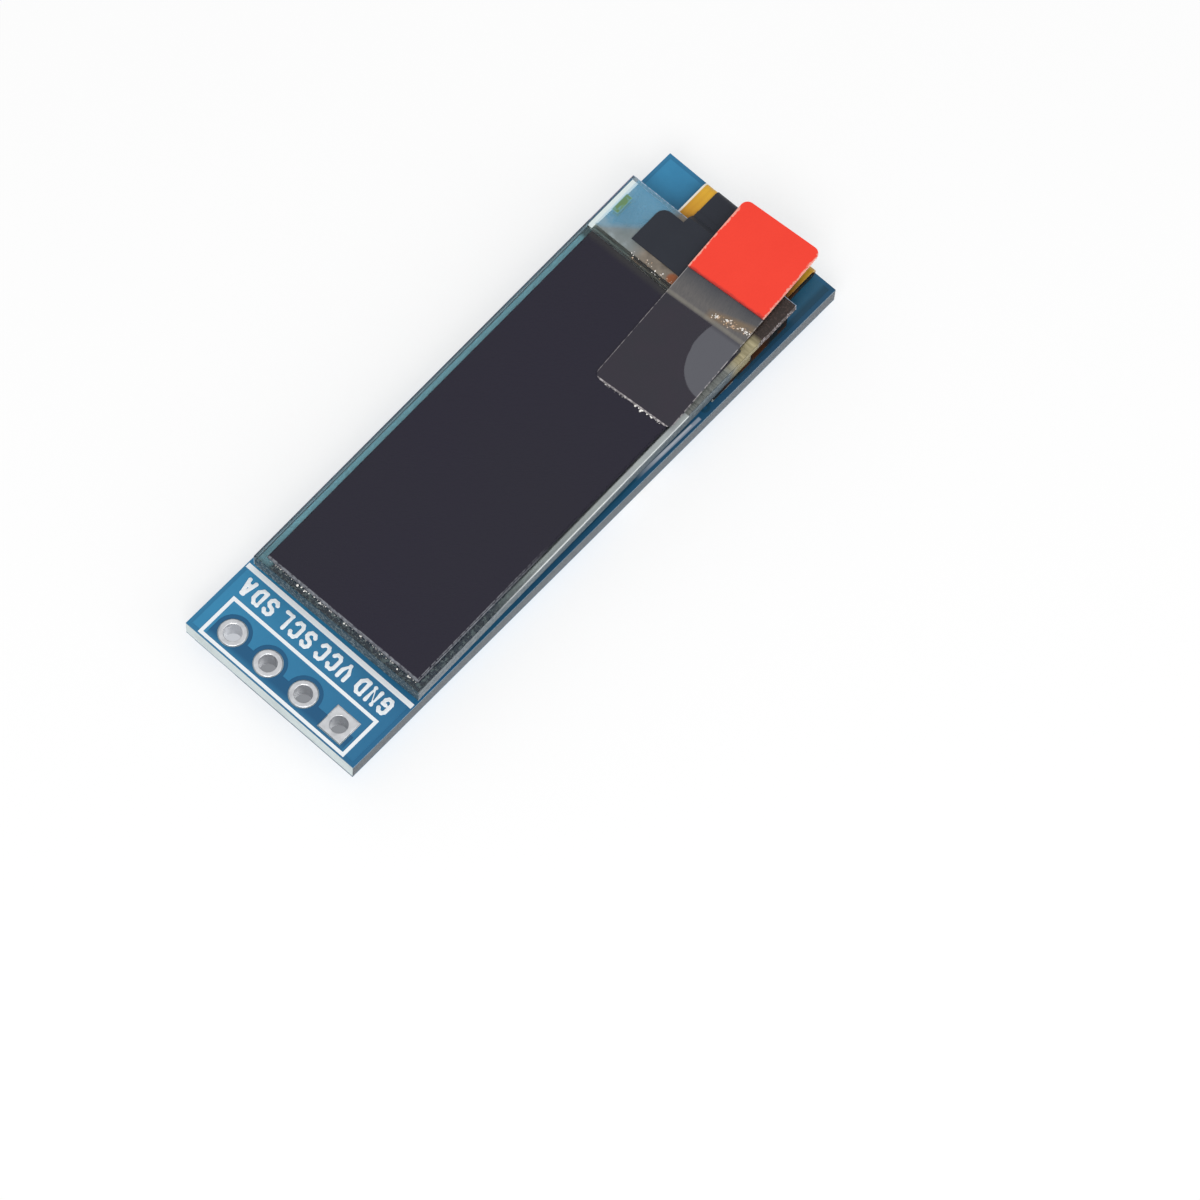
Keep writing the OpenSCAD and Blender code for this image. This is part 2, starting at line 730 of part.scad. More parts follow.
module legend_back_2d() {
    end_gap = 0.35;
    // ladder of lines between the chips of the long row
    for (s = [-1, 1])
        translate([row_x + s * (row_bar + back_line / 2), 0])
            square([back_line, board_w - 2 * legend_edge], center = true);
    for (y = row_y)
        translate([row_x, y + row_pitch / 2]) difference() {
            square([2 * row_bar, back_line * 0.7], center = true);
            square([end_gap, back_line], center = true);
        }
    // frame round the group, open where a track passes
    difference() {
        translate([group_x, group_y])
            frame_2d(2 * (row_bar + back_line), 2 * (group_half_w + back_line), back_line);
        translate([group_x, group_y])
            square([end_gap, 2 * group_half_w + 2], center = true);
        translate([group_x + row_bar, group_vias[0][1]]) square([1, end_gap], center = true);
    }
    // corner marks beside the regulator's single lead: place and side of the long bar
    mark_w = 0.6;
    mark_l = 0.9;
    for (m = [[0, 1.25, 1], [0.29, -0.87, -1]])
        translate([reg_x - reg_w / 2 - 0.75 + m[0], reg_y + m[1]]) {
            square([back_line, mark_w], center = true);
            translate([mark_l / 2 - back_line / 2, m[2] * (mark_w - back_line) / 2])
                square([mark_l, back_line], center = true);
        }
}

module legend_back()
    color([0.93, 0.95, 0.95]) on_back() legend_layer() {
        legend_back_2d();
        copper_back_2d();
    }

// ---- display panel ----

module foam_tape()
    color([0.85, 0.85, 0.83]) on_panel()
        plate(foam_margin, foam_end - foam_margin, panel_w - 2 * foam_margin, 0, foam_t);

module cap_glass()
    color([0.75, 0.85, 0.85, 0.6]) on_panel()
        plate(0, cap_l, panel_w, cap_z, glass_t);

module glass_seal()
    color([0.85, 0.8, 0.65]) on_panel()
        translate([cap_l / 2, 0, seal_z])
            linear_extrude(seal_t) frame_2d(cap_l - 0.2, panel_w - 0.2, seal_w);

// the emitting layers are on the rear of the front glass, inside the seal
module light_layers()
    color([0.2, 0.2, 0.25]) on_panel()
        plate(pixels_end, cap_l - 2 * pixels_end, panel_w - 2 * pixels_side,
            front_z - pixels_t, pixels_t);

module front_glass()
    color([0.75, 0.85, 0.85, 0.6]) on_panel()
        plate(0, panel_l, panel_w, front_z, glass_t);

// quarter-round bead in the corner between the cap glass's end and the ledge
module resin_bead()
    color([0.6, 0.5, 0.35]) on_panel()
        translate([cap_l, 0, front_z])
            rotate([90, 0, 0])
                linear_extrude(panel_w - 0.6, center = true)
                    intersection() {
                        circle(bead_l);
                        translate([0, -bead_l]) square(bead_l);
                    }

module polariser()
    color([0.16, 0.15, 0.19]) on_panel()
        translate([0, polariser_shift, 0])
            plate(polariser_start, polariser_l, polariser_w, ledge_z, polariser_t);

module protective_film()
    color([0.2, 0.19, 0.23, 0.5]) on_panel()
        translate([0, polariser_shift, 0])
            plate(polariser_start + film_inset, polariser_l - 2 * film_inset,
                polariser_w - 2 * film_inset, film_z, film_t);

module peel_tape()
    color([0.8, 0.8, 0.8, 0.4]) on_tape()
        translate([tape_l / 2, 0, tape_z])
            linear_extrude(tape_t) round_rect(tape_l, tape_w, tape_r);

module pull_tab()
    color([0.95, 0.27, 0.2]) on_tape()
        translate([tape_l - tab_l / 2, 0, tab_z])
            linear_extrude(tab_t) far_round(tab_l, tape_w, tape_r);

module driver_chip()
    color([0.35, 0.35, 0.38]) on_panel()
        plate(cap_l + chip_gap, chip_w, chip_l, front_z - chip_t, chip_t);

// side view of the shield's end: over the glass's edge and down onto the cable
module drape_profile() {
    top_u = shield_start + shield_l - shield_t;
    edge_u = panel_l + glass_gap;
    foot_u = edge_u + drape_l;
    foot_z = front_z + cover_t;
    polygon([[top_u, ledge_z], [edge_u, ledge_z], [foot_u, foot_z],
        [foot_u + drape_lap, foot_z], [foot_u + drape_lap, foot_z + shield_t],
        [foot_u + shield_t / 2, foot_z + shield_t],
        [edge_u + shield_t / 2, ledge_z + shield_t], [top_u, ledge_z + shield_t]]);
}

module chip_shield() {
    low = shield_shift - shield_w / 2 + shield_r;
    high = flex_shift + cover_shift + cover_w / 2;
    color([0.13, 0.14, 0.16]) on_panel() {
        translate([shield_start + shield_l / 2, shield_shift, ledge_z])
            linear_extrude(shield_t) far_round(shield_l, shield_w, shield_r);
        translate([0, high, 0])
            rotate([90, 0, 0]) linear_extrude(high - low) drape_profile();
    }
}

// side view of the cable: bonded end, run, fold and the narrow part of its tail
module flex_profile() {
    bond_u = panel_l - flex_bond;
    translate([bond_u, front_z - flex_t]) square([fold_u - bond_u, flex_t]);
    translate([fold_u, fold_z]) strip_arc(fold_r - flex_t, flex_t, -90, 90);
    translate([shoulder_u, flex_low]) square([fold_u - shoulder_u, flex_t]);
}

// the wide tail, with a sloping shoulder on one side
module tail_2d() {
    side = flex_shift - flex_w / 2;
    low_side = contact_shift - contact_half - 0.05;
    polygon([[tail_u, low_side], [shoulder_u, low_side], [shoulder_u + shoulder_l, side],
        [shoulder_u + shoulder_l, side + flex_w], [tail_u, side + flex_w]]);
}

module flex_cable()
    color([0.85, 0.6, 0.15]) on_panel() {
        translate([0, flex_shift, 0])
            rotate([90, 0, 0]) linear_extrude(flex_w, center = true) flex_profile();
        translate([0, 0, flex_low]) linear_extrude(flex_t) tail_2d();
    }

// black cover layer on the outside of the cable, from the glass round the fold
module cable_cover()
    color([0.13, 0.14, 0.16]) on_panel()
        translate([0, flex_shift + cover_shift, 0])
            rotate([90, 0, 0]) linear_extrude(cover_w, center = true) {
                translate([panel_l + glass_gap, front_z])
                    square([fold_u - panel_l - glass_gap, cover_t]);
                translate([fold_u, fold_z]) strip_arc(fold_r, cover_t, -90, 90);
                translate([fold_u - cover_tail, flex_gap]) square([cover_tail, cover_t]);
            }

// solder between the lands and the underside of the cable's tail
module cable_solder()
    color([0.8, 0.8, 0.8]) on_front()
        for (i = [0:contact_n - 1])
            translate([contact_x + joint_in, contact_pos(i) - joint_w / 2, copper_t])
                cube([contact_l - 2 * joint_in, joint_w, mask_t + flex_low]);

// ---- chips ----

// chip component about the origin: a body between two rounded metal ends
module chip(h, end_l) {
    body_w = chip_size_w - 2 * end_proud;
    body_h = h - 2 * end_proud;
    body_in = 0.1;
    r = 0.05;
    translate([0, 0, solder_t + end_proud])
        translate([-chip_size_l / 2 + body_in, -body_w / 2, 0])
            cube([chip_size_l - 2 * body_in, body_w, body_h]);
    for (s = [-1, 1])
        translate([s * (chip_size_l - end_l) / 2, 0, solder_t])
            intersection() {
                linear_extrude(h) round_rect(end_l, chip_size_w, r);
                translate([0, 0, h / 2]) rotate([90, 0, 0])
                    linear_extrude(chip_size_w + 1, center = true) round_rect(end_l, h, r);
            }
}

module row_chip(i)
    on_back() translate([row_x, row_y[i], copper_t])
        if (row_is_resistor[i]) chip(res_h, res_end);
        else chip(cap_h, cap_end);

module capacitor_c1() color([0.45, 0.38, 0.33]) row_chip(0);
module capacitor_c2() color([0.45, 0.34, 0.3]) row_chip(1);
module capacitor_c3() color([0.53, 0.45, 0.36]) row_chip(2);
module capacitor_c4() color([0.8, 0.76, 0.5]) row_chip(3);
module resistor_r4() color([0.13, 0.13, 0.14]) row_chip(4);
module capacitor_c5() color([0.7, 0.48, 0.34]) row_chip(5);
module capacitor_c6() color([0.82, 0.77, 0.55]) row_chip(6);
module capacitor_c7() color([0.6, 0.46, 0.3]) row_chip(7);

module group_chip(i, h, end_l)
    on_back() translate([group_x, group_yb[i], copper_t]) chip(h, end_l);

module capacitor_c8() color([0.78, 0.7, 0.5]) group_chip(0, cap_h, cap_end);
module resistor_r3() color([0.13, 0.13, 0.14]) group_chip(2, res_h, res_end);
module resistor_r2() color([0.13, 0.13, 0.14]) group_chip(3, res_h, res_end);
module resistor_r1() color([0.13, 0.13, 0.14]) group_chip(4, res_h, res_end);

cap_rise = 0.6 * cap_h;
res_rise = 0.75 * res_h;
under_in = 0.06;

// solder under and beside both ends of a chip whose fillets rise to height h
module chip_solder(h)
    for (s = [-1, 1])
        mirror([s < 0 ? 0 : 1, 0, 0]) {
            translate([-chip_size_l / 2, 0, 0]) fillet(fillet_l, land_w, h);
            translate([-chip_size_l / 2, -chip_size_w / 2 + under_in, 0])
                cube([land_in - 0.03, chip_size_w - 2 * under_in, solder_t]);
        }

module row_solder()
    color([0.8, 0.8, 0.8]) on_back()
        for (i = [0:row_n - 1])
            translate([row_x, row_y[i], copper_t])
                chip_solder(row_is_resistor[i] ? res_rise : cap_rise);

// ---- diode and regulator ----

// gull-wing lead in side view: foot outwards on z = 0, shank up to z = top, then in
module lead_profile(foot, top, reach) {
    r = 0.08;
    translate([-foot, 0]) square([foot - r, lead_t]);
    translate([-r, r + lead_t]) strip_arc(r, lead_t, -90, 0);
    translate([0, r + lead_t]) square([lead_t, top - 2 * r - 2 * lead_t]);
    translate([r + lead_t, top - r - lead_t]) strip_arc(r, lead_t, 90, 180);
    translate([r + lead_t, top - lead_t]) square([reach - r - lead_t, lead_t]);
}

module lead(foot, top, reach, w)
    rotate([90, 0, 0]) linear_extrude(w, center = true) lead_profile(foot, top, reach);

diode_foot = 0.28;
diode_mid = 0.5;
diode_stand = 0.04;
diode_top = diode_mid + lead_t / 2;
reg_mid = 0.5;
reg_top = reg_mid + lead_t / 2;
lead_in = 0.3;
reg_reach = reg_span / 2 - reg_foot - reg_w / 2 + lead_in;
diode_reach = diode_span / 2 - diode_foot - diode_l / 2 + lead_in;

module diode_at() on_back() translate([group_x, group_yb[1], copper_t + solder_t]) children();

module diode_lead_pair()
    for (s = [-1, 1])
        mirror([s < 0 ? 0 : 1, 0, 0])
            translate([-diode_span / 2 + diode_foot, 0, 0])
                lead(diode_foot, diode_top, diode_reach, diode_lead_w);

module diode_body()
    color([0.2, 0.2, 0.21]) diode_at()
        difference() {
            translate([0, 0, diode_stand])
                moulded(diode_l, diode_w, diode_h, diode_mid - diode_stand);
            diode_lead_pair();
        }

module diode_leads() color([0.8, 0.8, 0.78]) diode_at() diode_lead_pair();

module regulator_at() on_back() translate([reg_x, reg_y, copper_t + solder_t]) children();

module regulator_lead_set() {
    for (p = [[-1, 0], [1, -reg_pitch / 2], [1, reg_pitch / 2]])
        translate([0, p[1], 0]) mirror([p[0] < 0 ? 0 : 1, 0, 0])
            translate([-reg_span / 2 + reg_foot, 0, 0])
                lead(reg_foot, reg_top, reg_reach, reg_lead_w);
}

module regulator_body()
    color([0.22, 0.21, 0.22]) regulator_at()
        difference() {
            translate([0, 0, reg_stand]) moulded(reg_w, reg_l, reg_h, reg_mid - reg_stand);
            regulator_lead_set();
        }

module regulator_leads() color([0.8, 0.8, 0.78]) regulator_at() regulator_lead_set();

// solder under a lead's foot and up against its toe
module foot_solder(foot, w) {
    translate([0, -w / 2, 0]) cube([foot - 0.06, w, solder_t]);
    fillet(0.22, w + 0.14, solder_t + lead_t * 0.9);
}

module group_solder()
    color([0.8, 0.8, 0.8]) on_back() {
        for (i = [0, 2, 3, 4])
            translate([group_x, group_yb[i], copper_t])
                chip_solder(i == 0 ? cap_rise : res_rise);
        for (s = [-1, 1])
            translate([group_x, group_yb[1], copper_t]) mirror([s < 0 ? 0 : 1, 0, 0])
                translate([-diode_span / 2, 0, 0]) foot_solder(diode_foot, diode_lead_w);
    }

module regulator_solder()
    color([0.8, 0.8, 0.8]) on_back()
        for (p = [[-1, 0], [1, -reg_pitch / 2], [1, reg_pitch / 2]])
            translate([reg_x, reg_y + p[1], copper_t]) mirror([p[0] < 0 ? 0 : 1, 0, 0])
                translate([-reg_span / 2, 0, 0]) foot_solder(reg_foot, reg_lead_w);

laminate_core();
copper_front();
copper_back();
vias();
solder_mask_front();
solder_mask_back();
legend_front();
legend_back();
hole_gnd();
hole_vcc();
hole_scl();
hole_sda();
foam_tape();
cap_glass();
glass_seal();
light_layers();
front_glass();
resin_bead();
polariser();
protective_film();
peel_tape();
pull_tab();
driver_chip();
chip_shield();
flex_cable();
cable_cover();
cable_solder();
capacitor_c1();
capacitor_c2();
capacitor_c3();
capacitor_c4();
resistor_r4();
capacitor_c5();
capacitor_c6();
capacitor_c7();
row_solder();
capacitor_c8();
diode_body();
diode_leads();
resistor_r3();
resistor_r2();
resistor_r1();
group_solder();
regulator_body();
regulator_leads();
regulator_solder();
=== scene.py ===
import math
import random

import bpy
from mathutils import Matrix, Vector


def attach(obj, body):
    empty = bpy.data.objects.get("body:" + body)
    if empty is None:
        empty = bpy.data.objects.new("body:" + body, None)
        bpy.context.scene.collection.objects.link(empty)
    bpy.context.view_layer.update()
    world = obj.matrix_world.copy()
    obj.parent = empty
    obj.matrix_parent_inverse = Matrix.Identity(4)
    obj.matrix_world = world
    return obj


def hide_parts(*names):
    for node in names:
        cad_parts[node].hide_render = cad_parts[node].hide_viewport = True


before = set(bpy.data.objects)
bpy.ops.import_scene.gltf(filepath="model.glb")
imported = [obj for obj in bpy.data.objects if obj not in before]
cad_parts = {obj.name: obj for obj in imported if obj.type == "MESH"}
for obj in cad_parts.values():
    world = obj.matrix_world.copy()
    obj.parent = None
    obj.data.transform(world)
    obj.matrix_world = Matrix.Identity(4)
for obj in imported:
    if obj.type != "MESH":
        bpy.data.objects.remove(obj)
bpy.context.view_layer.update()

print("frame loaded:", len(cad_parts), "nodes")

mm = 0.001  # everything is modelled in millimetres, then brought to metres

# where the main pieces stand, as in the solids
board = {
    "pinEdge": 1.27, "midY": 3.81, "length": 38.0, "width": 12.0, "core": 1.15,
    "face": 0.06, "bare": 0.045, "pinPitch": 2.54}
panel = {
    "start": 4.88, "length": 30.3, "width": 11.6, "shift": 0.07, "turn": 1.0, "cap": 26.6,
    "frontZ": 0.88, "ledgeZ": 1.38, "tapeZ": 1.61, "tabZ": 1.66}
tape = {"start": 19.95, "shift": -3.1, "turn": 3.5, "width": 5.1}
chips = {
    "rowX": 21.78, "groupX": 14.36, "half": 0.8, "rowPitch": 1.475, "groupPitch": 1.3,
    "groupY": 0.15, "copper": 0.035, "solder": 0.03, "resistor": 0.45}

midX = board["length"] / 2 - board["pinEdge"]
boardMove = Matrix.Translation((-board["pinEdge"], board["midY"], 0))
frontMove = boardMove @ Matrix.Translation((0, 0, board["core"]))
backMove = boardMove @ Matrix.Rotation(math.pi, 4, "X")
panelMove = (frontMove
             @ Matrix.Translation((panel["start"] + panel["length"] / 2, panel["shift"],
                                   board["face"]))
             @ Matrix.Rotation(math.radians(panel["turn"]), 4, "Z")
             @ Matrix.Translation((-panel["length"] / 2, 0, 0)))
tapeMove = (panelMove @ Matrix.Translation((tape["start"], tape["shift"], 0))
            @ Matrix.Rotation(math.radians(tape["turn"]), 4, "Z"))


class Val:
    # a socket that takes part in Python expressions
    def __init__(self, finish, socket):
        self.finish = finish
        self.socket = socket

    def math(self, operation, *others):
        ins = dict(enumerate((self,) + others))
        return self.finish.node("Math", {"operation": operation}, ins)

    def flipped(self, operation, other):
        return self.finish.node("Math", {"operation": operation}, {0: other, 1: self})

    def __add__(self, other):
        return self.math("ADD", other)

    __radd__ = __add__

    def __sub__(self, other):
        return self.math("SUBTRACT", other)

    def __rsub__(self, other):
        return self.flipped("SUBTRACT", other)

    def __mul__(self, other):
        return self.math("MULTIPLY", other)

    __rmul__ = __mul__

    def __truediv__(self, other):
        return self.math("DIVIDE", other)

    def __rtruediv__(self, other):
        return self.flipped("DIVIDE", other)

    def size(self):
        return self.math("ABSOLUTE")

    def above(self, level, soft=0.0):
        # 0 below the level and 1 above it, over a soft width
        if soft <= 0:
            return self.math("GREATER_THAN", level)
        return ((self - (level - soft / 2)) / soft).clamped()

    def below(self, level, soft=0.0):
        return 1.0 - self.above(level, soft)

    def clamped(self):
        return self.finish.node("Math", {"operation": "ADD", "use_clamp": True},
                                {0: self, 1: 0.0})


class Finish:
    # the nodes of one material, or of the world
    sockets = {"colour": "Base Color", "rough": "Roughness", "metal": "Metallic",
               "normal": "Normal", "alpha": "Alpha", "gloss": "Specular IOR Level",
               "glow": "Emission Color", "glowPower": "Emission Strength"}

    def __init__(self, name, kind="materials"):
        self.owner = getattr(bpy.data, kind).new(name)
        self.owner.use_nodes = True
        self.tree = self.owner.node_tree
        self.tree.nodes.clear()
        self.place = None

    def node(self, kind, settings=None, ins=None, out=0):
        made = self.tree.nodes.new("ShaderNode" + kind)
        for key, value in (settings or {}).items():
            setattr(made, key, value)
        for key, value in (ins or {}).items():
            if isinstance(value, Val):
                self.tree.links.new(value.socket, made.inputs[key])
            else:
                made.inputs[key].default_value = value
        return Val(self, made.outputs[out])

    def coords(self):
        # object coordinates in millimetres
        if self.place is None:
            spot = self.node("TexCoord", None, None, "Object")
            self.place = self.node("VectorMath", {"operation": "SCALE"},
                                   {0: spot, "Scale": 1 / mm})
        return self.place

    def axes(self, point=None):
        point = point or self.coords()
        return [self.node("SeparateXYZ", None, {0: point}, k) for k in "XYZ"]

    def moved(self, centre, turn=0.0, stretch=(1, 1, 1)):
        # coordinates about a point, turned and stretched
        return self.node("Mapping", {"vector_type": "TEXTURE"},
                         {"Vector": self.coords(), "Location": centre,
                          "Rotation": (0, 0, turn), "Scale": stretch})

    def stretched(self, stretch, turn=0.0):
        return self.moved((0, 0, 0), turn, stretch)

    def noise(self, scale, detail=2.0, point=None):
        return self.node("TexNoise", {"noise_dimensions": "3D"},
                         {"Vector": point or self.coords(), "Scale": scale,
                          "Detail": detail, "Roughness": 0.5}, "Fac")

    def cells(self, scale):
        return self.node("TexVoronoi", {"feature": "F1"},
                         {"Vector": self.coords(), "Scale": scale}, "Distance")

    def mix(self, share, first, second):
        def full(c):
            return c if isinstance(c, Val) else (*c, 1)
        return self.node("Mix", {"data_type": "RGBA"},
                         {0: share, 6: full(first), 7: full(second)}, 2)

    def bump(self, height, distance, strength=1.0):
        return self.node("Bump", None, {"Height": height, "Distance": distance * mm,
                                        "Strength": strength})

    def blend(self, share, first, second):
        return self.node("MixShader", None, {0: share, 1: first, 2: second})

    def shader(self, **ins):
        given = {}
        for key, value in ins.items():
            if key in ("colour", "glow") and not isinstance(value, Val):
                value = (*value, 1)
            given[self.sockets[key]] = value
        return self.node("BsdfPrincipled", None, given)

    def done(self, shader, end="OutputMaterial"):
        made = self.tree.nodes.new("ShaderNode" + end)
        self.tree.links.new(shader.socket, made.inputs["Surface"])
        return self.owner

    def skin(self, look, tone, height, dent, strength, rougher=0.0, **ins):
        # a finished surface: its look's roughness and gloss, with small bumps
        return self.done(self.shader(colour=tone, rough=look["rough"] + rougher,
                                     gloss=look.get("gloss", 0.5),
                                     normal=self.bump(height, dent, strength), **ins))


def cover(obj, material):
    obj.data.materials.clear()
    obj.data.materials.append(material)


def dress(material, *names):
    # gives CAD nodes their material
    for name in names:
        cover(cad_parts[name], material)


def added(name, data):
    obj = bpy.data.objects.new(name, data)
    bpy.context.collection.objects.link(obj)
    return obj


def pick(*objs):
    bpy.ops.object.select_all(action="DESELECT")
    for o in objs:
        o.select_set(True)
    bpy.context.view_layer.objects.active = objs[-1]


def applyPlace(*objs):
    pick(*objs)
    bpy.ops.object.transform_apply(location=True, rotation=True, scale=True)


def applyAll(obj):
    pick(obj)
    for m in list(obj.modifiers):
        bpy.ops.object.modifier_apply(modifier=m.name)


def settle(obj, name, move, material, smooth=35):
    # brings a piece modelled in millimetres to its place and finish
    obj.matrix_world = Matrix.Scale(mm, 4) @ move @ obj.matrix_world
    applyPlace(obj)
    bpy.ops.object.shade_smooth_by_angle(angle=math.radians(smooth))
    obj.name = obj.data.name = name
    cover(obj, material)
    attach(obj, "root")
    return obj


def joined(objs):
    pick(*objs)
    if len(objs) > 1:
        bpy.ops.object.join()
    return bpy.context.object


def sliced(obj, *planes):
    # cuts level at each height, drops what lies on the side given, and closes the cut
    pick(obj)
    bpy.ops.object.mode_set(mode="EDIT")
    for level, side in planes:
        bpy.ops.mesh.select_all(action="SELECT")
        bpy.ops.mesh.bisect(plane_co=(0, 0, level), plane_no=(0, 0, side), clear_outer=True,
                            use_fill=True)
    bpy.ops.object.mode_set(mode="OBJECT")
    return obj


def fused(obj, voxel, rounds):
    # melts overlapping lumps into one closed skin
    remesh = obj.modifiers.new("fuse", "REMESH")
    remesh.mode = "VOXEL"
    remesh.voxel_size = voxel
    ease = obj.modifiers.new("ease", "SMOOTH")
    ease.iterations = rounds
    applyAll(obj)
    return obj


boardLook = {
    "shaded": (0.02, 0.112, 0.24), "litSide": (0.042, 0.25, 0.45),
    "overBare": (0.014, 0.09, 0.2), "back": (0.015, 0.195, 0.37),
    "farCornerShade": (0.018, 0.075, 0.118), "farStart": 33.5, "strip": (0.009, 0.035, 0.058),
    "stripY": -1.55, "stripStart": 7.0, "streak": (0.7, 0.71, 0.76), "streakY": -1.95,
    "streakFrom": 22.0, "streakTo": 26.05, "pinEnd": 4.5, "rim": 0.5, "rimSoft": 0.3,
    "cloud": (0.016, 0.2, 0.36), "speckle": (0.008, 0.07, 0.17), "weave": 3.2,
    "rough": 0.26, "gloss": 0.25}


def maskFinish():
    look = boardLook
    f = Finish("solderMask")
    x, y, z = f.axes()
    level = (z - board["core"] / 2).size()
    copper = level.above(board["core"] / 2 + (board["face"] + board["bare"]) / 2)
    # the lacquer pools thinner along the board's edges, so bare margins look paler there
    rimX = (x - midX).size().above(board["length"] / 2 - look["rim"], look["rimSoft"])
    rimY = (y - board["midY"]).size().above(board["width"] / 2 - look["rim"],
                                            look["rimSoft"])
    rim = (rimX + rimY).clamped()
    cloud = f.noise(0.16, 3)
    fine = f.noise(3.0, 3)
    # the glass cloth shows faintly through the lacquer
    weave = (x * look["weave"]).math("SINE") * (y * look["weave"]).math("SINE")
    # painted light and shade: the front grows paler away from the display's near side, and
    # towards the pins' end
    across = ((y - board["midY"]) / board["width"] + 0.5).clamped()
    front = f.mix(across, look["shaded"], look["litSide"])
    front = f.mix(x.below(look["pinEnd"], 3.0) * 0.3, front, look["litSide"])
    # painted shade: the far corner on the display's near side is darker
    farCornerShade = x.above(look["farStart"], 2.5) * (1.0 - across.above(0.3, 0.25))
    front = f.mix(farCornerShade * 0.8, front, look["farCornerShade"])
    # painted shadow: the panel's shadow darkens the lacquer along its near side
    strip = y.below(look["stripY"], 0.25) * x.above(look["stripStart"], 3.0)
    front = f.mix(strip * 0.9, front, look["strip"])
    # painted light: the lit edge of the glass throws a pale streak onto the lacquer, turned
    # as the panel is
    lean = (x - 26.0) * 0.0175
    beside = (y - look["streakY"] + lean).size().below(0.1, 0.05)
    streak = beside * x.above(look["streakFrom"], 2.0) * x.below(look["streakTo"], 0.05)
    front = f.mix(streak * 0.8, front, look["streak"])
    full = f.mix(z.above(board["core"] / 2), look["back"], front)
    bare = f.mix(rim * 0.6, look["overBare"], full)
    tone = f.mix(copper, bare, full)
    tone = f.mix((cloud * 0.9 - 0.25).clamped() * 0.4, tone, look["cloud"])
    tone = f.mix((fine * 0.16 + weave * 0.02).clamped(), tone, look["speckle"])
    height = f.noise(1.4) + 0.15 * weave + 0.2 * f.noise(9.0)
    return f.skin(look, tone, height, 0.01, 0.5, 0.12 * fine)


laminateLook = {
    "pale": (0.74, 0.82, 0.83), "deep": (0.58, 0.65, 0.64), "stain": (0.45, 0.5, 0.5),
    "lip": (0.14, 0.22, 0.26), "shadedEdge": ((0.035, 0.042, 0.052), (0.095, 0.108, 0.12)),
    "layers": 30.0, "lipHeight": 0.05, "rough": 0.55, "gloss": 0.08}


def laminateFinish():
    look = laminateLook
    f = Finish("laminate")
    x, y, z = f.axes()
    layers = (z * look["layers"]).math("SINE") * 0.5 + 0.5
    threads = f.noise(6.0, 4, f.stretched((1, 1, 0.25)))
    grain = (layers * 0.4 + threads * 0.4).clamped()
    tone = f.mix(grain, look["pale"], look["deep"])
    # painted shade: the long edge on the display's near side is painted dark, with fine dots
    shadedEdge = (y - board["midY"]).below(-board["width"] / 2 + 0.02)
    tone = f.mix(shadedEdge, tone, f.mix(f.noise(9.0, 3), *look["shadedEdge"]))
    stain = f.noise(0.8).above(0.6, 0.2) * 0.3 * (1.0 - shadedEdge)
    tone = f.mix(stain, tone, look["stain"])
    # the cut lacquer leaves a thin dark line along both faces
    lip = (z - board["core"] / 2).size().above(board["core"] / 2 - look["lipHeight"], 0.03)
    tone = f.mix(lip * 0.5, tone, look["lip"])
    return f.skin(look, tone, threads + 0.3 * layers, 0.03, 0.7, 0.25 * threads)


# one row for each metal, under these headings
metalKeys = ("colour", "dark", "rough", "grain", "dent", "contrast")
metals = {
    "tinnedPad": ((0.66, 0.67, 0.69), (0.42, 0.43, 0.45), 0.2, 2.5, 0.03, 1.6),
    "tinnedLand": ((0.7, 0.7, 0.7), (0.3, 0.3, 0.3), 0.25, 3.0, 0.03, 1.6),
    "viaRim": ((0.3, 0.5, 0.62), (0.1, 0.2, 0.28), 0.25, 3.0, 0.03, 1.6),
    "solder": ((0.9, 0.9, 0.89), (0.09, 0.09, 0.1), 0.12, 4.5, 0.07, 3.4),
    "tinnedLead": ((0.76, 0.76, 0.74), (0.3, 0.3, 0.3), 0.24, 4.0, 0.03, 2.2),
}


def metalFinish(name):
    # mottled metal with small dents
    look = dict(zip(metalKeys, metals[name]))
    f = Finish(name)
    cloud = f.noise(look["grain"], 4)
    pits = f.cells(look["grain"] * 2.2)
    patch = ((cloud - 0.5) * look["contrast"] + 0.35).clamped()
    tone = f.mix(patch, look["colour"], look["dark"])
    return f.skin(look, tone, cloud + 0.4 * pits, look["dent"], 0.8, 0.22 * cloud, metal=1.0)


# foam, black film, moulded bodies: a colour, its darker patches, and a fine grain
paintKeys = ("colour", "dark", "rough", "grain", "dent", "gloss")
paints = {
    "foamTape": ((0.6, 0.61, 0.6), (0.42, 0.43, 0.43), 0.7, 6.0, 0.08, 0.4),
    "lightLayers": ((0.02, 0.02, 0.026), (0.03, 0.03, 0.04), 0.2, 1.0, 0.005, 0.4),
    "silicon": ((0.16, 0.16, 0.19), (0.1, 0.1, 0.13), 0.12, 2.0, 0.005, 0.8),
    "blackFilm": ((0.017, 0.02, 0.029), (0.024, 0.028, 0.038), 0.4, 5.0, 0.008, 0.22),
    "moulding": ((0.03, 0.032, 0.035), (0.06, 0.06, 0.062), 0.45, 9.0, 0.03, 0.35),
}


def paintFinish(name):
    look = dict(zip(paintKeys, paints[name]))
    f = Finish(name)
    cloud = f.noise(look["grain"] * 0.2, 3)
    fine = f.noise(look["grain"], 3)
    patch = (cloud * 0.7 + fine * 0.5 - 0.2).clamped()
    tone = f.mix(patch, look["colour"], look["dark"])
    return f.skin(look, tone, fine, look["dent"], 0.7, 0.15 * fine)


inkLook = {
    "white": (0.88, 0.91, 0.93), "worn": (0.7, 0.77, 0.82), "rough": 0.45, "gloss": 0.2}


def inkFinish():
    f = Finish("legendInk")
    cloud = f.noise(1.6, 3)
    grain = f.noise(14.0, 3)
    tone = f.mix((grain * 0.7 - 0.2).clamped(), inkLook["white"], inkLook["worn"])
    return f.skin(inkLook, tone, grain, 0.015, 0.6, 0.3 * cloud)


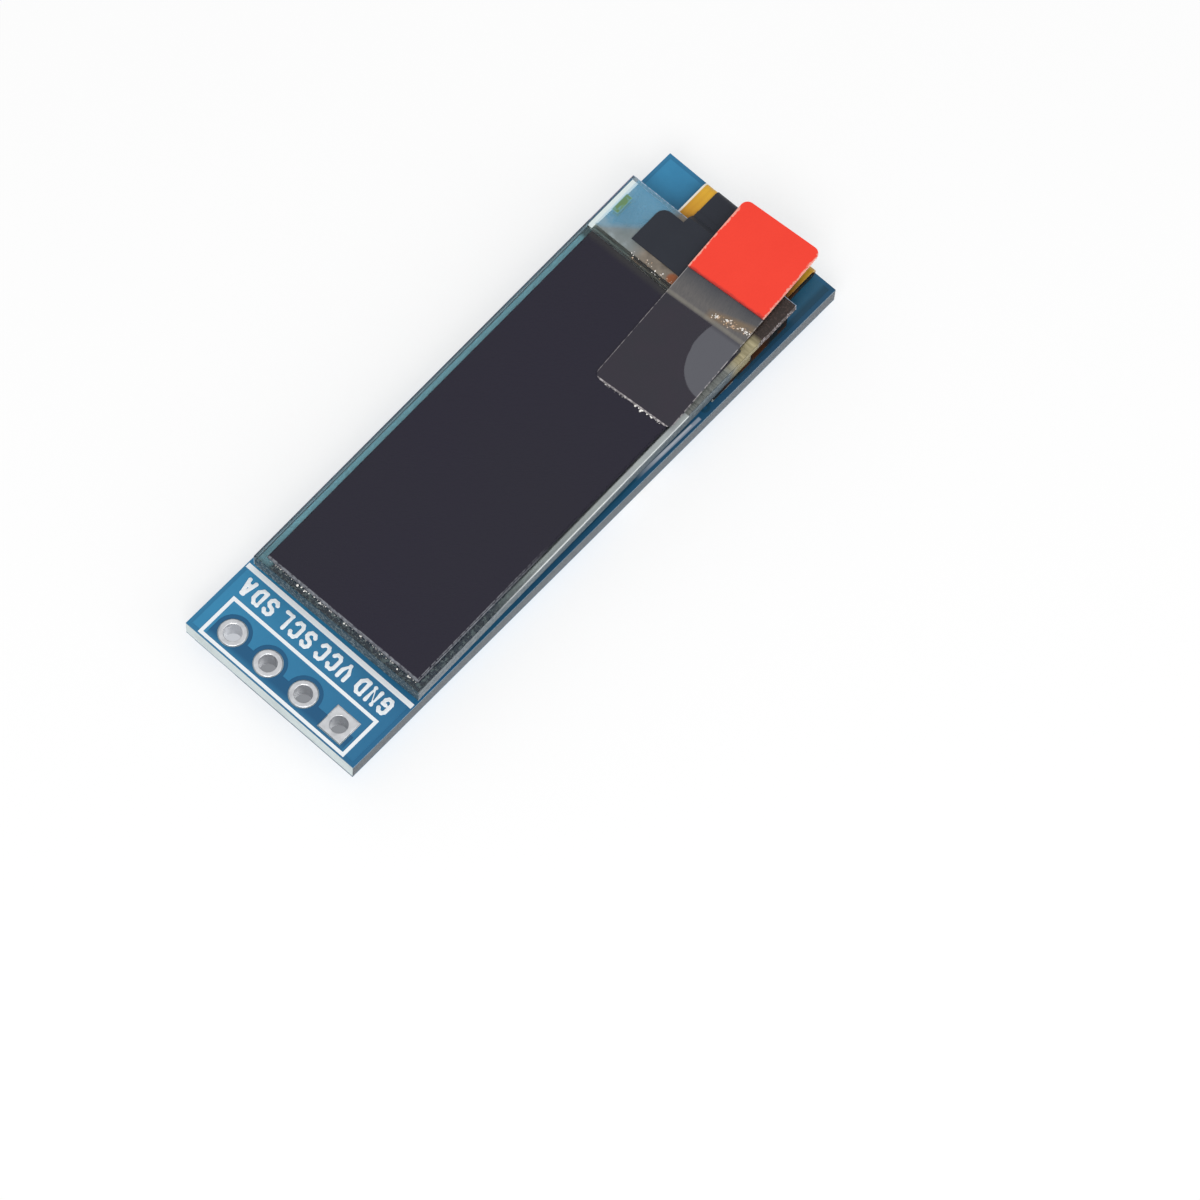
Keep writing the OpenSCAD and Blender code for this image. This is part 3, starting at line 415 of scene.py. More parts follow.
def panelAxes(f):
    # distance along and across the display panel, and height above the board
    return f.axes(f.moved(panelMove.translation, math.radians(panel["turn"])))


def tapeAxes(f):
    turn = math.radians(panel["turn"] + tape["turn"])
    return f.axes(f.moved(tapeMove.translation, turn))


# a bright streak of painted highlight runs along the panel's near side, and beyond it a smear
# of glue
glassLook = {
    "tint": (0.93, 0.98, 0.97), "ior": 1.45, "shine": 0.02, "streakStart": 6.0,
    "streakRise": 3.5, "streakEnd": 21.5, "glueStart": 25.2, "glueEnd": 27.3, "skin": 0.03,
    "scuffEnd": 25.8, "nearSide": ((0.065, 0.085, 0.1), (0.15, 0.18, 0.19)),
    "streak": ((0.46, 0.48, 0.5), (0.58, 0.63, 0.6)),
    "glue": ((0.13, 0.11, 0.06), (0.36, 0.32, 0.19)),
    "pastGlue": ((0.08, 0.06, 0.055), (0.35, 0.32, 0.33)),
    "pinEnd": ((0.03, 0.065, 0.09), (0.24, 0.29, 0.3)),
    "ledgeEnd": ((0.15, 0.28, 0.4), (0.72, 0.74, 0.86)), "farSide": (0.5, 0.64, 0.74),
    "farLine": (0.05, 0.05, 0.11), "farLedge": (0.42, 0.36, 0.46)}
# the bare ledge, given along and across the panel
ledgeLook = {
    "veil": (0.2, 0.5, 0.72), "veilCorner": (27.0, 5.2), "veilSlope": 1.25,
    "resin": ((0.22, 0.27, 0.26), (0.38, 0.41, 0.42)), "wisp": (0.5, 0.62, 0.66),
    "brown": ((0.075, 0.06, 0.048), (0.36, 0.31, 0.25)), "brownSide": 2.7,
    "blob": (0.3, 0.09, 0.03), "blobAt": (27.0, 0.15),
    "shadeUnderTape": ((0.026, 0.017, 0.014), (0.05, 0.032, 0.028)), "tapeSide": -3.9,
    "mark": (0.13, 0.24, 0.11), "markAt": (28.6, 5.1), "markHalf": (0.62, 0.2)}
# the clear border of the front glass beside the streak
borderLook = {
    "glare": ((0.4, 0.42, 0.45), (0.54, 0.6, 0.57)), "glareSide": -5.5,
    "scuffs": ((0.05, 0.055, 0.055), (0.42, 0.45, 0.42)), "scuffSide": -5.22,
    "glue": ((0.13, 0.11, 0.05), (0.62, 0.55, 0.34))}


def streakLight(u):
    # how far the streak is lit at each place along the panel
    rise = ((u - glassLook["streakStart"]) / glassLook["streakRise"]).clamped()
    return rise * u.below(glassLook["streakEnd"], 0.04)


def glassSides(f, u, v, h, front, onLedge, chipped, flecks):
    # ground-glass edges with painted light and shade: their shader, and how much of it shows
    look = glassLook
    half = panel["width"] / 2
    high = h.above(panel["ledgeZ"] - 0.17, 0.04)
    near = v.below(-half + look["skin"])
    far = v.above(half - look["skin"])
    start = u.below(look["skin"])
    end = u.above(panel["length"] - look["skin"])
    capEnd = (u - panel["cap"]).size().below(look["skin"]) * (1.0 - front)
    # near side: dark at the pins' end, then a bright streak of painted highlight, then dark
    # as far as the glue
    tone = f.mix(flecks * 0.6, *look["nearSide"])
    tone = f.mix(streakLight(u) * high, tone, f.mix(f.noise(1.5, 3), *look["streak"]))
    glue = u.above(look["glueStart"], 0.8) * u.below(look["glueEnd"], 0.4)
    tone = f.mix(glue, tone, f.mix(f.noise(2.6, 3), *look["glue"]))
    past = u.above(look["glueEnd"], 0.3)
    tone = f.mix(past, tone, f.mix(flecks, *look["pastGlue"]))
    # pins' end and the hidden end of the cap glass
    tone = f.mix((start + capEnd).clamped(), tone, f.mix(flecks * 0.7, *look["pinEnd"]))
    # far side: pale blue with painted light, under a thin dark line
    line = f.mix(onLedge, look["farLine"], look["farLedge"])
    tone = f.mix(far, tone, f.mix(high, look["farSide"], line))
    # bright chipped line along the ledge's end
    chipping = (chipped * 3.4 - 1.3).clamped()
    tone = f.mix(end, tone, f.mix(chipping, *look["ledgeEnd"]))
    frostedAndLit = f.shader(colour=tone, rough=0.3 + 0.3 * chipped, gloss=0.06,
                       normal=f.bump(chipped, 0.05, 0.7))
    farShown = far * (1.0 - onLedge * (1.0 - high))
    edge = near * 0.92 + start * 0.85 + capEnd * 0.8 + end * 0.8 + farShown * 0.85
    return frostedAndLit, edge.clamped(), near


def glassFinish():
    look = glassLook
    f = Finish("panelGlass")
    u, v, h = panelAxes(f)
    chipped = f.noise(5.0, 4)
    flecks = f.noise(7.0, 4).above(0.56, 0.08)
    front = h.above(panel["frontZ"] - 0.02)
    onLedge = u.above(panel["cap"] + 0.1)
    frostedAndLit, edge, near = glassSides(f, u, v, h, front, onLedge, chipped, flecks)
    # the ledge: a faint blue veil, dried resin beyond it, brown resin, and painted shade
    # under the tape
    ledge = ledgeLook
    cornerU, cornerV = ledge["veilCorner"]
    cleared = (v - (cornerV - (u - cornerU) * ledge["veilSlope"])).above(-0.2, 0.7)
    wisps = f.noise(0.9, 4)
    brown = v.below(ledge["brownSide"], 0.9)
    milk = f.mix(cleared, f.mix(wisps, *ledge["resin"]), ledge["veil"])
    milk = f.mix((wisps * 4.0 - 2.3).clamped() * v.above(3.2, 0.5), milk, ledge["wisp"])
    milk = f.mix(brown, milk, f.mix(f.noise(1.6, 4), *ledge["brown"]))
    du = u - ledge["blobAt"][0]
    dv = v - ledge["blobAt"][1]
    milk = f.mix((du * du + dv * dv).below(0.1, 0.1), milk, ledge["blob"])
    milky = (0.66 - 0.24 * cleared) * (0.6 + 0.6 * wisps) * v.below(5.4, 0.1) + 0.3 * brown
    # painted shade: under the tape, towards the panel's near side, the ledge is covered dark
    # brown with flecks
    shadeUnderTape = v.below(ledge["tapeSide"], 0.8)
    milk = f.mix(shadeUnderTape, milk, f.mix(flecks, *ledge["shadeUnderTape"]))
    milky = milky * (1.0 - shadeUnderTape) + 0.9 * shadeUnderTape
    mark = ((u - ledge["markAt"][0]).size().below(ledge["markHalf"][0], 0.1)
            * (v - ledge["markAt"][1]).size().below(ledge["markHalf"][1], 0.08)
            * f.noise(2.5, 3).above(0.36, 0.2))
    milk = f.mix(mark, milk, ledge["mark"])
    share = (onLedge * front * (milky + mark * 0.8)).clamped()
    # the streak also lights the clear border above the glue
    border = borderLook
    clearBorder = front * (1.0 - near)
    glare = streakLight(u) * v.below(border["glareSide"], 0.06) * clearBorder
    milk = f.mix(glare, milk, f.mix(f.noise(1.5, 3), *border["glare"]))
    glare = glare * (0.35 + 0.65 * ((u - 8.0) / 9.0).clamped())
    share = (share + glare * 0.8).clamped()
    # beyond the streak the border is scuffed, then smeared with yellowed glue
    scuffed = u.above(look["streakEnd"]) * v.below(border["scuffSide"], 0.1) * clearBorder
    glued = scuffed * u.above(look["glueStart"], 1.0) * u.below(look["glueEnd"], 0.5)
    scuffed = scuffed * u.below(look["scuffEnd"], 1.0)
    scratches = f.noise(2.4, 4, f.stretched((0.3, 2.2, 1)))
    milk = f.mix(scuffed, milk, f.mix(scratches, *border["scuffs"]))
    milk = f.mix(glued, milk, f.mix(scratches, *border["glue"]))
    share = (share + scuffed * 0.6 + glued * 0.85).clamped()
    resin = f.shader(colour=milk, rough=0.35 + 0.2 * chipped, gloss=0.3)
    through = f.node("BsdfTransparent", None, {"Color": (*look["tint"], 1)})
    shine = f.node("BsdfGlossy", None, {"Color": (1, 1, 1, 1),
                                        "Roughness": look["shine"] + 0.03 * f.noise(0.7),
                                        "Normal": f.bump(f.noise(0.35), 0.01, 0.3)})
    clear = f.blend(f.node("Fresnel", None, {"IOR": look["ior"]}), through, shine)
    return f.done(f.blend(edge, f.blend(share, clear, resin), frostedAndLit))


# what shows through the clear border: glue, with painted light on the far side and in the
# streak
sealLook = {
    "glue": ((0.035, 0.05, 0.088), (0.06, 0.1, 0.15)), "flecks": (0.36, 0.43, 0.46),
    "outerSide": -5.36, "inner": ((0.07, 0.07, 0.08), (0.24, 0.24, 0.25)),
    "bright": ((0.66, 0.7, 0.74), (0.86, 0.93, 0.88)),
    "past": ((0.15, 0.165, 0.15), (0.4, 0.43, 0.4)), "pastOuter": (0.085, 0.09, 0.095),
    "yellow": ((0.12, 0.1, 0.045), (0.62, 0.55, 0.36)),
    "far": ((0.3, 0.66, 0.8), (0.44, 0.84, 1.0)), "closedEnd": 25.9,
    "endBrown": ((0.05, 0.042, 0.036), (0.3, 0.26, 0.21)), "endTeal": (0.09, 0.17, 0.2),
    "rough": 0.35, "gloss": 0.25}


def sealFinish():
    look = sealLook
    f = Finish("sealResin")
    u, v, h = panelAxes(f)
    grain = f.noise(2.4, 4)

    def grained(key):
        return f.mix(grain, *look[key])

    flecks = f.noise(6.0, 5).above(0.55, 0.07)
    spots = f.cells(3.4).below(0.12, 0.05) * f.noise(1.2).above(0.45, 0.1)
    tone = grained("glue")
    tone = f.mix((flecks * 0.65 + spots * 0.8).clamped(), tone, look["flecks"])
    near = v.below(-4.6, 0.4)
    outer = v.below(look["outerSide"], 0.05)
    lit = f.mix(outer, grained("inner"), grained("bright"))
    tone = f.mix(near * streakLight(u), tone, lit)
    past = near * u.above(glassLook["streakEnd"])
    tone = f.mix(past, tone, f.mix(outer, grained("past"), look["pastOuter"]))
    glue = near * u.above(glassLook["glueStart"], 1.2)
    tone = f.mix(glue, tone, grained("yellow"))
    # painted light: the far side is paler
    far = v.above(4.9, 0.2) * (0.5 + 0.45 * (u / 3.0).clamped())
    tone = f.mix(far, tone, grained("far"))
    # the closed end: teal towards the far side, brownish elsewhere
    endTone = f.mix(v.above(2.6, 1.2), grained("endBrown"), look["endTeal"])
    tone = f.mix(u.above(look["closedEnd"], 0.3) * (1.0 - near), tone, endTone)
    return f.skin(look, tone, flecks + f.noise(6.0), 0.02, 0.7, 0.2 * flecks)


polariserLook = {
    "violet": (0.0265, 0.0235, 0.04), "grey": (0.028, 0.027, 0.038),
    "pale": (0.36, 0.38, 0.42), "dusk": (0.06, 0.06, 0.055), "duskStart": 25.85,
    "margin": 0.5, "shift": -0.1, "rough": 0.12, "gloss": 0.12}
filmLook = {"lift": 1.08, "marks": (0.45, 0.47, 0.5), "share": 0.85}


def polariserTone(f, u, v, lift=1.0):
    look = polariserLook
    violet = tuple(part * lift for part in look["violet"])
    grey = tuple(part * lift for part in look["grey"])
    tone = f.mix(f.noise(0.1), violet, grey)
    # its cut edges are paler, most of all towards the pins' end
    side = look["margin"] - panel["width"] / 2
    line = (v - look["shift"]).below(side + 0.03) * u.below(9.0, 4.0)
    edge = (line + u.below(0.47)).clamped()
    tone = f.mix(edge * (f.noise(4.0, 3) * 2.0 - 0.5).clamped(), tone, look["pale"])
    dusk = u.above(look["duskStart"], 0.3) * (0.3 + 0.5 * f.noise(1.0, 3))
    return f.mix(dusk, tone, look["dusk"])


def sheetSkin(f, tone, **more):
    # the polariser and its film shine alike
    return f.skin(polariserLook, tone, f.noise(0.12), 0.05, 0.2, 0.1 * f.noise(0.5, 3),
                  **more)


def polariserFinish():
    f = Finish("polariser")
    u, v, h = panelAxes(f)
    return sheetSkin(f, polariserTone(f, u, v))


def filmFinish():
    # the film takes the polariser's own tone, so that only its rim stands out
    f = Finish("clearFilm")
    u, v, h = panelAxes(f)
    side = polariserLook["margin"] - panel["width"] / 2
    rim = (v - polariserLook["shift"]).below(side + 0.1, 0.05) * u.below(9.0, 4.0)
    rim = (rim + u.below(0.5, 0.05)).clamped()
    marks = rim * f.noise(5.0, 3).above(0.45, 0.2)
    tone = f.mix(marks * 0.5, polariserTone(f, u, v, filmLook["lift"]), filmLook["marks"])
    return sheetSkin(f, tone, alpha=filmLook["share"] + 0.1 * marks)


# places are given along and across the tape
tapeLook = {
    "bubble": (5.15, -2.55), "bubbleSize": (2.75, 2.1), "filmEnd": 6.3, "tabStart": 8.25,
    "share": 0.9, "clear": ((0.0335, 0.0255, 0.04), (0.0256, 0.0262, 0.0365)),
    "bubbleTone": (0.106, 0.108, 0.126), "haze": ((0.1, 0.097, 0.1), (0.165, 0.155, 0.15)),
    "deep": (0.045, 0.052, 0.068), "trail": (0.21, 0.155, 0.105), "trailAt": (6.75, -0.2),
    "seam": (0.32, 0.3, 0.25), "seamAt": 6.45, "rim": (0.6, 0.56, 0.56),
    "rough": 0.2, "gloss": 0.3}


def tapeFinish():
    look = tapeLook
    f = Finish("clearTape")
    a, b, h = tapeAxes(f)
    half = tape["width"] / 2
    wobble = (f.noise(0.7) - 0.5) * 0.25
    torn = a.below(0.09) * (0.3 + 0.5 * f.noise(6.0, 4).above(0.5, 0.1))
    broken = f.noise(4.0, 3).above(0.48, 0.12)
    rim = b.above(half - 0.04, 0.02) * (0.06 + 0.25 * broken)
    rim = rim + b.below(-half + 0.05, 0.02) * broken * 0.45
    da = (a - look["bubble"][0] + wobble) / look["bubbleSize"][0]
    db = (b - look["bubble"][1] + wobble) / look["bubbleSize"][1]
    bubble = (da * da + db * db).below(1.0, 0.05) * a.below(look["filmEnd"], 0.5)
    # beyond the film the tape hangs over the ledge: hazy, and darkened towards the tab by
    # painted shadow
    ledge = a.above(look["filmEnd"] + 0.1, 0.3)
    clouds = f.noise(0.8, 3)
    deep = (a - 7.1).clamped() * (0.35 + 0.65 * clouds)
    wrinkles = f.noise(3.0, 4, f.stretched((1, 0.25, 1), 0.3))
    share = (look["share"] + bubble * 0.05 + torn * 0.1 + rim).clamped()
    tone = f.mix(bubble, f.mix(clouds, *look["clear"]), look["bubbleTone"])
    haze = f.mix(deep, f.mix(wrinkles, *look["haze"]), look["deep"])
    tone = f.mix(ledge, tone, haze)
    # yellowed glue under the tape: a line by the film's end and a brown trail of bubbles
    mottle = f.noise(2.2, 4)
    trailA, trailB = look["trailAt"]
    trail = (a - trailA + (b - trailB) * 0.25).size().below(0.3, 0.25) * b.below(0.0, 0.4)
    seam = (a - look["seamAt"]).size().below(0.12, 0.12) * (0.4 + 0.6 * mottle)
    stained = (trail * (mottle * 3.0 - 0.6).clamped()).clamped()
    tone = f.mix(stained, tone, look["trail"])
    tone = f.mix(seam * 0.6, tone, look["seam"])
    tone = f.mix((torn + rim).clamped(), tone, look["rim"])
    height = f.noise(1.2, 3) + torn + ledge * wrinkles
    return f.skin(look, tone, height, 0.04, 0.5, 0.15 * ledge, alpha=share)


tabLook = {
    "red": ((0.96, 0.063, 0.036), (0.9, 0.052, 0.03)), "start": (0.3, 0.03, 0.03),
    "worn": (0.9, 0.45, 0.36), "rough": 0.38, "gloss": 0.2}


def tabFinish():
    f = Finish("redTab")
    a, b, h = tapeAxes(f)
    ragged = (f.noise(3.5, 4) - 0.5) * 0.34
    side = (b.size() + ragged).above(tape["width"] / 2 - 0.08, 0.05)
    worn = side * f.noise(7.0, 3).above(0.38, 0.25)
    # painted shade: the tab's inner end is darkened
    near = (a - tapeLook["tabStart"] + ragged * 0.6).below(0.1, 0.1)
    cloud = f.noise(0.5, 3)
    tone = f.mix(cloud, *tabLook["red"])
    tone = f.mix(near * 0.6, tone, tabLook["start"])
    tone = f.mix(worn * 0.8, tone, tabLook["worn"])
    return f.skin(tabLook, tone, f.noise(6.0, 3) + worn, 0.02, 0.6, 0.15 * cloud)


resinLook = {
    "brown": ((0.11, 0.09, 0.07), (0.42, 0.37, 0.3)), "rust": (0.3, 0.12, 0.04),
    "pale": ((0.15, 0.22, 0.22), (0.3, 0.33, 0.3)), "paleSide": 2.9,
    "sparkle": (0.85, 0.83, 0.78), "lip": (0.5, 0.5, 0.44), "rough": 0.25, "gloss": 0.4}


def resinFinish():
    look = resinLook
    f = Finish("beadResin")
    u, v, h = panelAxes(f)
    bubbles = f.cells(4.0)
    sparkle = bubbles.below(0.2, 0.06) * f.noise(1.1).above(0.5, 0.1)
    brown = f.mix(f.noise(1.6, 4), *look["brown"])
    brown = f.mix(f.noise(0.8).above(0.55, 0.1) * 0.5, brown, look["rust"])
    pale = f.mix(f.noise(1.4, 3), *look["pale"])
    tone = f.mix(v.above(look["paleSide"], 0.6), brown, pale)
    tone = f.mix(sparkle * v.below(3.2, 0.4), tone, look["sparkle"])
    lip = (u - panel["cap"]).above(0.17, 0.03) * f.noise(3.0, 3).above(0.4, 0.2)
    tone = f.mix(lip * 0.7, tone, look["lip"])
    return f.skin(look, tone, bubbles + f.noise(3.0, 3), 0.06, 1.0)


flexLook = {
    "rim": 2.755, "tracks": 0.31, "tailTop": 0.5,
    "amber": ((0.5, 0.21, 0.012), (0.76, 0.42, 0.03)), "track": (0.4, 0.15, 0.01),
    "cloud": (0.5, 0.27, 0.03), "stain": (0.09, 0.03, 0.012), "tabShadowSide": -3.6,
    "tail": ((0.014, 0.02, 0.024), (0.055, 0.022, 0.01)), "rustStart": 24.5,
    "litRim": (0.85, 0.84, 0.78), "rough": 0.25, "gloss": 0.3}


def flexFinish():
    look = flexLook
    f = Finish("polyimide")
    u, v, h = panelAxes(f)
    # painted light: the amber grows lighter towards the fold
    along = ((u - panel["length"]) / 2.0).clamped()
    lines = (v * (2 * math.pi / look["tracks"])).math("SINE").above(0.1, 0.4)
    tone = f.mix(along, *look["amber"])
    tone = f.mix(lines * 0.1, tone, look["track"])
    tone = f.mix(f.noise(1.3, 3) * 0.25, tone, look["cloud"])
    # painted shadow: it is darkened brown below the tab, most of all beside the glass
    stain = v.below(look["tabShadowSide"], 0.8) * (1.0 - along * 0.7)
    tone = f.mix(stain * 0.85, tone, look["stain"])
    # over the blue board the amber film looks nearly black, darkened further by painted shade
    # under the glass, with a rusty gleam
    tail = 1.0 - h.above(look["tailTop"], 0.35)
    rust = f.noise(1.1, 3).above(0.5, 0.12) * u.above(look["rustStart"], 2.0)
    tone = f.mix(tail, tone, f.mix(rust, *look["tail"]))
    lit = v.above(look["rim"] - 0.11, 0.04) * (1.0 - tail)
    tone = f.mix(lit * 0.85, tone, look["litRim"])
    return f.skin(look, tone, lines + f.noise(0.8), 0.01, 0.6, 0.12 * f.noise(2.0))


chipLook = {
    "tin": ((0.86, 0.85, 0.82), (0.3, 0.3, 0.3)), "white": (0.75, 0.74, 0.7),
    "glaze": ((0.017, 0.017, 0.02), (0.028, 0.028, 0.032)), "glazeZ": -0.49,
    "capacitorEnd": 0.38, "resistorEnd": 0.3, "rough": 0.42, "gloss": 0.35}
# each capacitor's own ceramic
ceramics = {
    "capacitor_c1": ((0.18, 0.145, 0.115), (0.12, 0.09, 0.07)),
    "capacitor_c2": ((0.17, 0.1, 0.085), (0.11, 0.065, 0.055)),
    "capacitor_c3": ((0.26, 0.2, 0.125), (0.19, 0.135, 0.08)),
    "capacitor_c4": ((0.52, 0.47, 0.2), (0.44, 0.38, 0.16)),
    "capacitor_c5": ((0.45, 0.21, 0.12), (0.34, 0.15, 0.08)),
    "capacitor_c6": ((0.62, 0.54, 0.32), (0.5, 0.42, 0.23)),
    "capacitor_c7": ((0.29, 0.19, 0.095), (0.22, 0.13, 0.06)),
    "capacitor_c8": ((0.56, 0.46, 0.26), (0.46, 0.36, 0.19)),
}


def chipFinish(name, middle, body=None):
    # a chip between two tinned ends; with no ceramic given, its white body is glazed on top
    look = chipLook
    glazed = body is None
    endLength = look["resistorEnd" if glazed else "capacitorEnd"]
    f = Finish(name)
    x, y, z = f.axes()
    wave = (f.noise(4.0, 3) - 0.5) * 0.06
    ends = ((x - middle).size() + wave).above(chips["half"] - endLength, 0.02)
    cloud = f.noise(3.0, 3)
    tone = f.mix((cloud * 1.4 - 0.3).clamped(), *(body or look["glaze"]))
    if glazed:
        tone = f.mix(z.below(look["glazeZ"]), look["white"], tone)
    tinTone = f.mix((f.noise(4.0, 4) * 2.6 - 0.9).clamped(), *look["tin"])
    rougher = 0.1 * cloud - 0.08 * ends - 0.2 * glazed
    return f.skin(look, f.mix(ends, tone, tinTone), f.noise(7.0, 3) * (0.3 + ends), 0.03,
                  0.7, rougher, metal=ends)


print("making finishes")
ink = inkFinish()
tin = metalFinish("tinnedPad")
solder = metalFinish("solder")

dress(maskFinish(), "solder_mask_front", "solder_mask_back")
dress(laminateFinish(), "laminate_core")
dress(metalFinish("tinnedLand"), "copper_front", "copper_back")
dress(metalFinish("viaRim"), "vias")
dress(ink, "legend_front", "legend_back")
dress(tin, "hole_gnd", "hole_vcc", "hole_scl", "hole_sda")
dress(paintFinish("foamTape"), "foam_tape")
dress(glassFinish(), "front_glass", "cap_glass")
dress(sealFinish(), "glass_seal")
dress(paintFinish("lightLayers"), "light_layers")
dress(resinFinish(), "resin_bead")
dress(polariserFinish(), "polariser")
dress(filmFinish(), "protective_film")
dress(tapeFinish(), "peel_tape")
dress(tabFinish(), "pull_tab")
dress(paintFinish("silicon"), "driver_chip")
dress(paintFinish("blackFilm"), "chip_shield", "cable_cover")
dress(flexFinish(), "flex_cable")
dress(solder, "cable_solder")
dress(metalFinish("tinnedLead"), "diode_leads", "regulator_leads")
dress(paintFinish("moulding"), "diode_body", "regulator_body")

for name, body in ceramics.items():
    middle = chips["groupX"] if name == "capacitor_c8" else chips["rowX"]
    dress(chipFinish("ceramic" + name[-2:].upper(), middle, body), name)
dress(chipFinish("resistorRow", chips["rowX"]), "resistor_r4")
dress(chipFinish("resistorGroup", chips["groupX"]), "resistor_r1", "resistor_r2",
      "resistor_r3")

# strokes of each letter in a cell 0.6 wide and 1 high
cellWidth = 0.6
bowl = [(.6, .82), (.45, 1), (.15, 1), (0, .82), (0, .18), (.15, 0), (.45, 0), (.6, .18)]
strokes = {
    "G": [bowl + [(.6, .45), (.36, .45)]],
    "N": [[(0, 0), (0, 1), (.6, 0), (.6, 1)]],
    "D": [[(0, 0), (0, 1), (.35, 1), (.6, .74), (.6, .26), (.35, 0), (0, 0)]],
    "V": [[(0, 1), (0, .5), (.3, 0), (.6, .5), (.6, 1)]],
    "C": [bowl],
    "S": [[(.6, .85), (.45, 1), (.15, 1), (0, .85), (0, .66), (.15, .53), (.45, .47),
           (.6, .34), (.6, .15), (.45, 0), (.15, 0), (0, .15)]],
    "L": [[(.05, 1), (.05, 0), (.58, 0)]],
    "A": [[(0, 0), (.22, 1), (.38, 1), (.6, 0)], [(.1, .32), (.5, .32)]],
    "R": [[(0, 0), (0, 1), (.42, 1), (.6, .86), (.6, .62), (.42, .48), (0, .48)],
          [(.3, .48), (.6, 0)]],
    "U": [[(0, 1), (0, .18), (.15, 0), (.45, 0), (.6, .18), (.6, 1)]],
    "0": [[(.15, 0), (0, .2), (0, .8), (.15, 1), (.45, 1), (.6, .8), (.6, .2), (.45, 0),
           (.15, 0)]],
    "1": [[(.12, .78), (.34, 1), (.34, 0)]],
    "2": [[(0, .8), (.15, 1), (.45, 1), (.6, .8), (.6, .62), (0, 0), (.6, 0)]],
    "3": [[(0, .86), (.15, 1), (.45, 1), (.6, .86), (.6, .64), (.45, .52), (.25, .52)],
          [(.45, .52), (.6, .38), (.6, .15), (.45, 0), (.15, 0), (0, .14)]],
    "4": [[(.45, 0), (.45, 1), (0, .35), (.62, .35)]],
    "5": [[(.55, 1), (.06, 1), (.02, .56), (.4, .58), (.6, .42), (.6, .15), (.42, 0),
           (.12, 0), (0, .12)]],
    "6": [[(.5, 1), (.2, .92), (0, .55), (0, .18), (.15, 0), (.45, 0), (.6, .18),
           (.6, .36), (.45, .54), (.15, .54), (0, .38)]],
    "7": [[(0, 1), (.6, 1), (.2, 0)]],
    "8": [[(.15, .53), (0, .68), (0, .86), (.15, 1), (.45, 1), (.6, .86), (.6, .68),
           (.45, .53), (.15, .53), (0, .38), (0, .14), (.15, 0), (.45, 0), (.6, .14),
           (.6, .38), (.45, .53)]],
}


def letterCurve(points, line):
    curve = bpy.data.curves.new("stroke", "CURVE")
    curve.dimensions = "3D"
    curve.bevel_depth = line / 2
    curve.bevel_resolution = 3
    curve.use_fill_caps = True
    spline = curve.splines.new("POLY")
    spline.points.add(len(points) - 1)
    for spot, (x, y) in zip(spline.points, points):
        spot.co = (x, y, 0, 1)
    pick(added("stroke", curve))
    bpy.ops.object.convert(target="MESH")
    return bpy.context.object


def word(text, style):
    # raised strokes with round ends, melted into one skin and cut flat underneath
    step = style["width"] + style["gap"]
    radius = style["line"] / 2
    plateau = style["line"] * 0.25
    parts = []
    for i, letter in enumerate(text):
        for chain in strokes[letter]:
            points = [(i * step + x / cellWidth * style["width"], y * style["height"])
                      for x, y in chain]
            parts.append(letterCurve(points, style["line"]))
            for x, y in points:
                bpy.ops.mesh.primitive_uv_sphere_add(segments=16, ring_count=8,
                                                     radius=radius, location=(x, y, 0))
                parts.append(bpy.context.object)
    applyPlace(*parts)
    # cut level underneath and on top, so that the ink is a thin plateau
    obj = sliced(fused(joined(parts), style["line"] / 9, 3), (0, -1), (plateau, 1))
    length = (len(text) - 1) * step + style["width"]
    obj.matrix_world = (Matrix.Diagonal((1, 1, style["thick"] / plateau, 1))
                        @ Matrix.Translation((-length / 2, -style["height"] / 2, 0)))
    return obj


def printWord(name, text, spot, move, style, z=board["face"]):
    obj = word(text, style)
    place = (Matrix.Translation((*spot, z))
             @ Matrix.Rotation(math.radians(style["turn"]), 4, "Z"))
    return settle(obj, name, move @ place, ink)


def printLabel(text, spot, move, style):
    return printWord("label_" + text.lower(), text, spot, move, style)


print("printing the lettering")
pinWords = {
    "width": 0.43, "height": 0.86, "gap": 0.4, "line": 0.245, "thick": 0.022, "turn": 90,
    "x": 3.68}
pinNames = {"GND": -4.03, "VCC": -1.2, "SCL": 1.47, "SDA": 4.18}
for text, y in pinNames.items():
    printLabel(text, (pinWords["x"], y), frontMove, pinWords)

# beside the long row of chips and the framed group, then by the regulator
backWords = {
    "width": 0.42, "height": 0.7, "gap": 0.4, "line": 0.255, "thick": 0.022, "turn": 180,
    "rowX": 20.67, "groupX": 13.3, "drop": 0.05}
for i, text in enumerate("C1 C2 C3 C4 R4 C5 C6 C7".split()):
    y = (3.5 - i) * chips["rowPitch"] - backWords["drop"]
    printLabel(text, (backWords["rowX"], y), backMove, backWords)
for i, text in enumerate("C8 D1 R3 R2 R1".split()):
    y = chips["groupY"] + (2 - i) * chips["groupPitch"] - backWords["drop"]
    printLabel(text, (backWords["groupX"], y), backMove, backWords)
regulatorWord = {
    "width": 0.45, "height": 0.8, "gap": 0.38, "line": 0.24, "thick": 0.022, "turn": 180,
    "spot": (5.6, 1.7)}
printLabel("U1", regulatorWord["spot"], backMove, regulatorWord)

numerals = {
    "width": 0.16, "height": 0.38, "gap": 0.13, "line": 0.07, "thick": 0.008, "turn": 90,
    "rowX": 23.05, "groupX": 15.63,
    "z": chips["copper"] + chips["solder"] + chips["resistor"]}
values = [("value_r4", "561", numerals["rowX"], -0.5 * chips["rowPitch"])]
for i, (name, text) in enumerate((("value_r3", "512"), ("value_r2", "472"),
                                  ("value_r1", "472"))):
    values.append((name, text, numerals["groupX"], chips["groupY"] - i * chips["groupPitch"]))
for name, text, x, y in values:
    printWord(name, text, (x, y), backMove, numerals, numerals["z"])

tinRing = {
    "inner": 0.5, "outer": 0.775, "rise": 0.045, "padTop": 0.055, "segments": 64,
    "minorSegments": 20, "edge": 0.036, "smooth": 60}


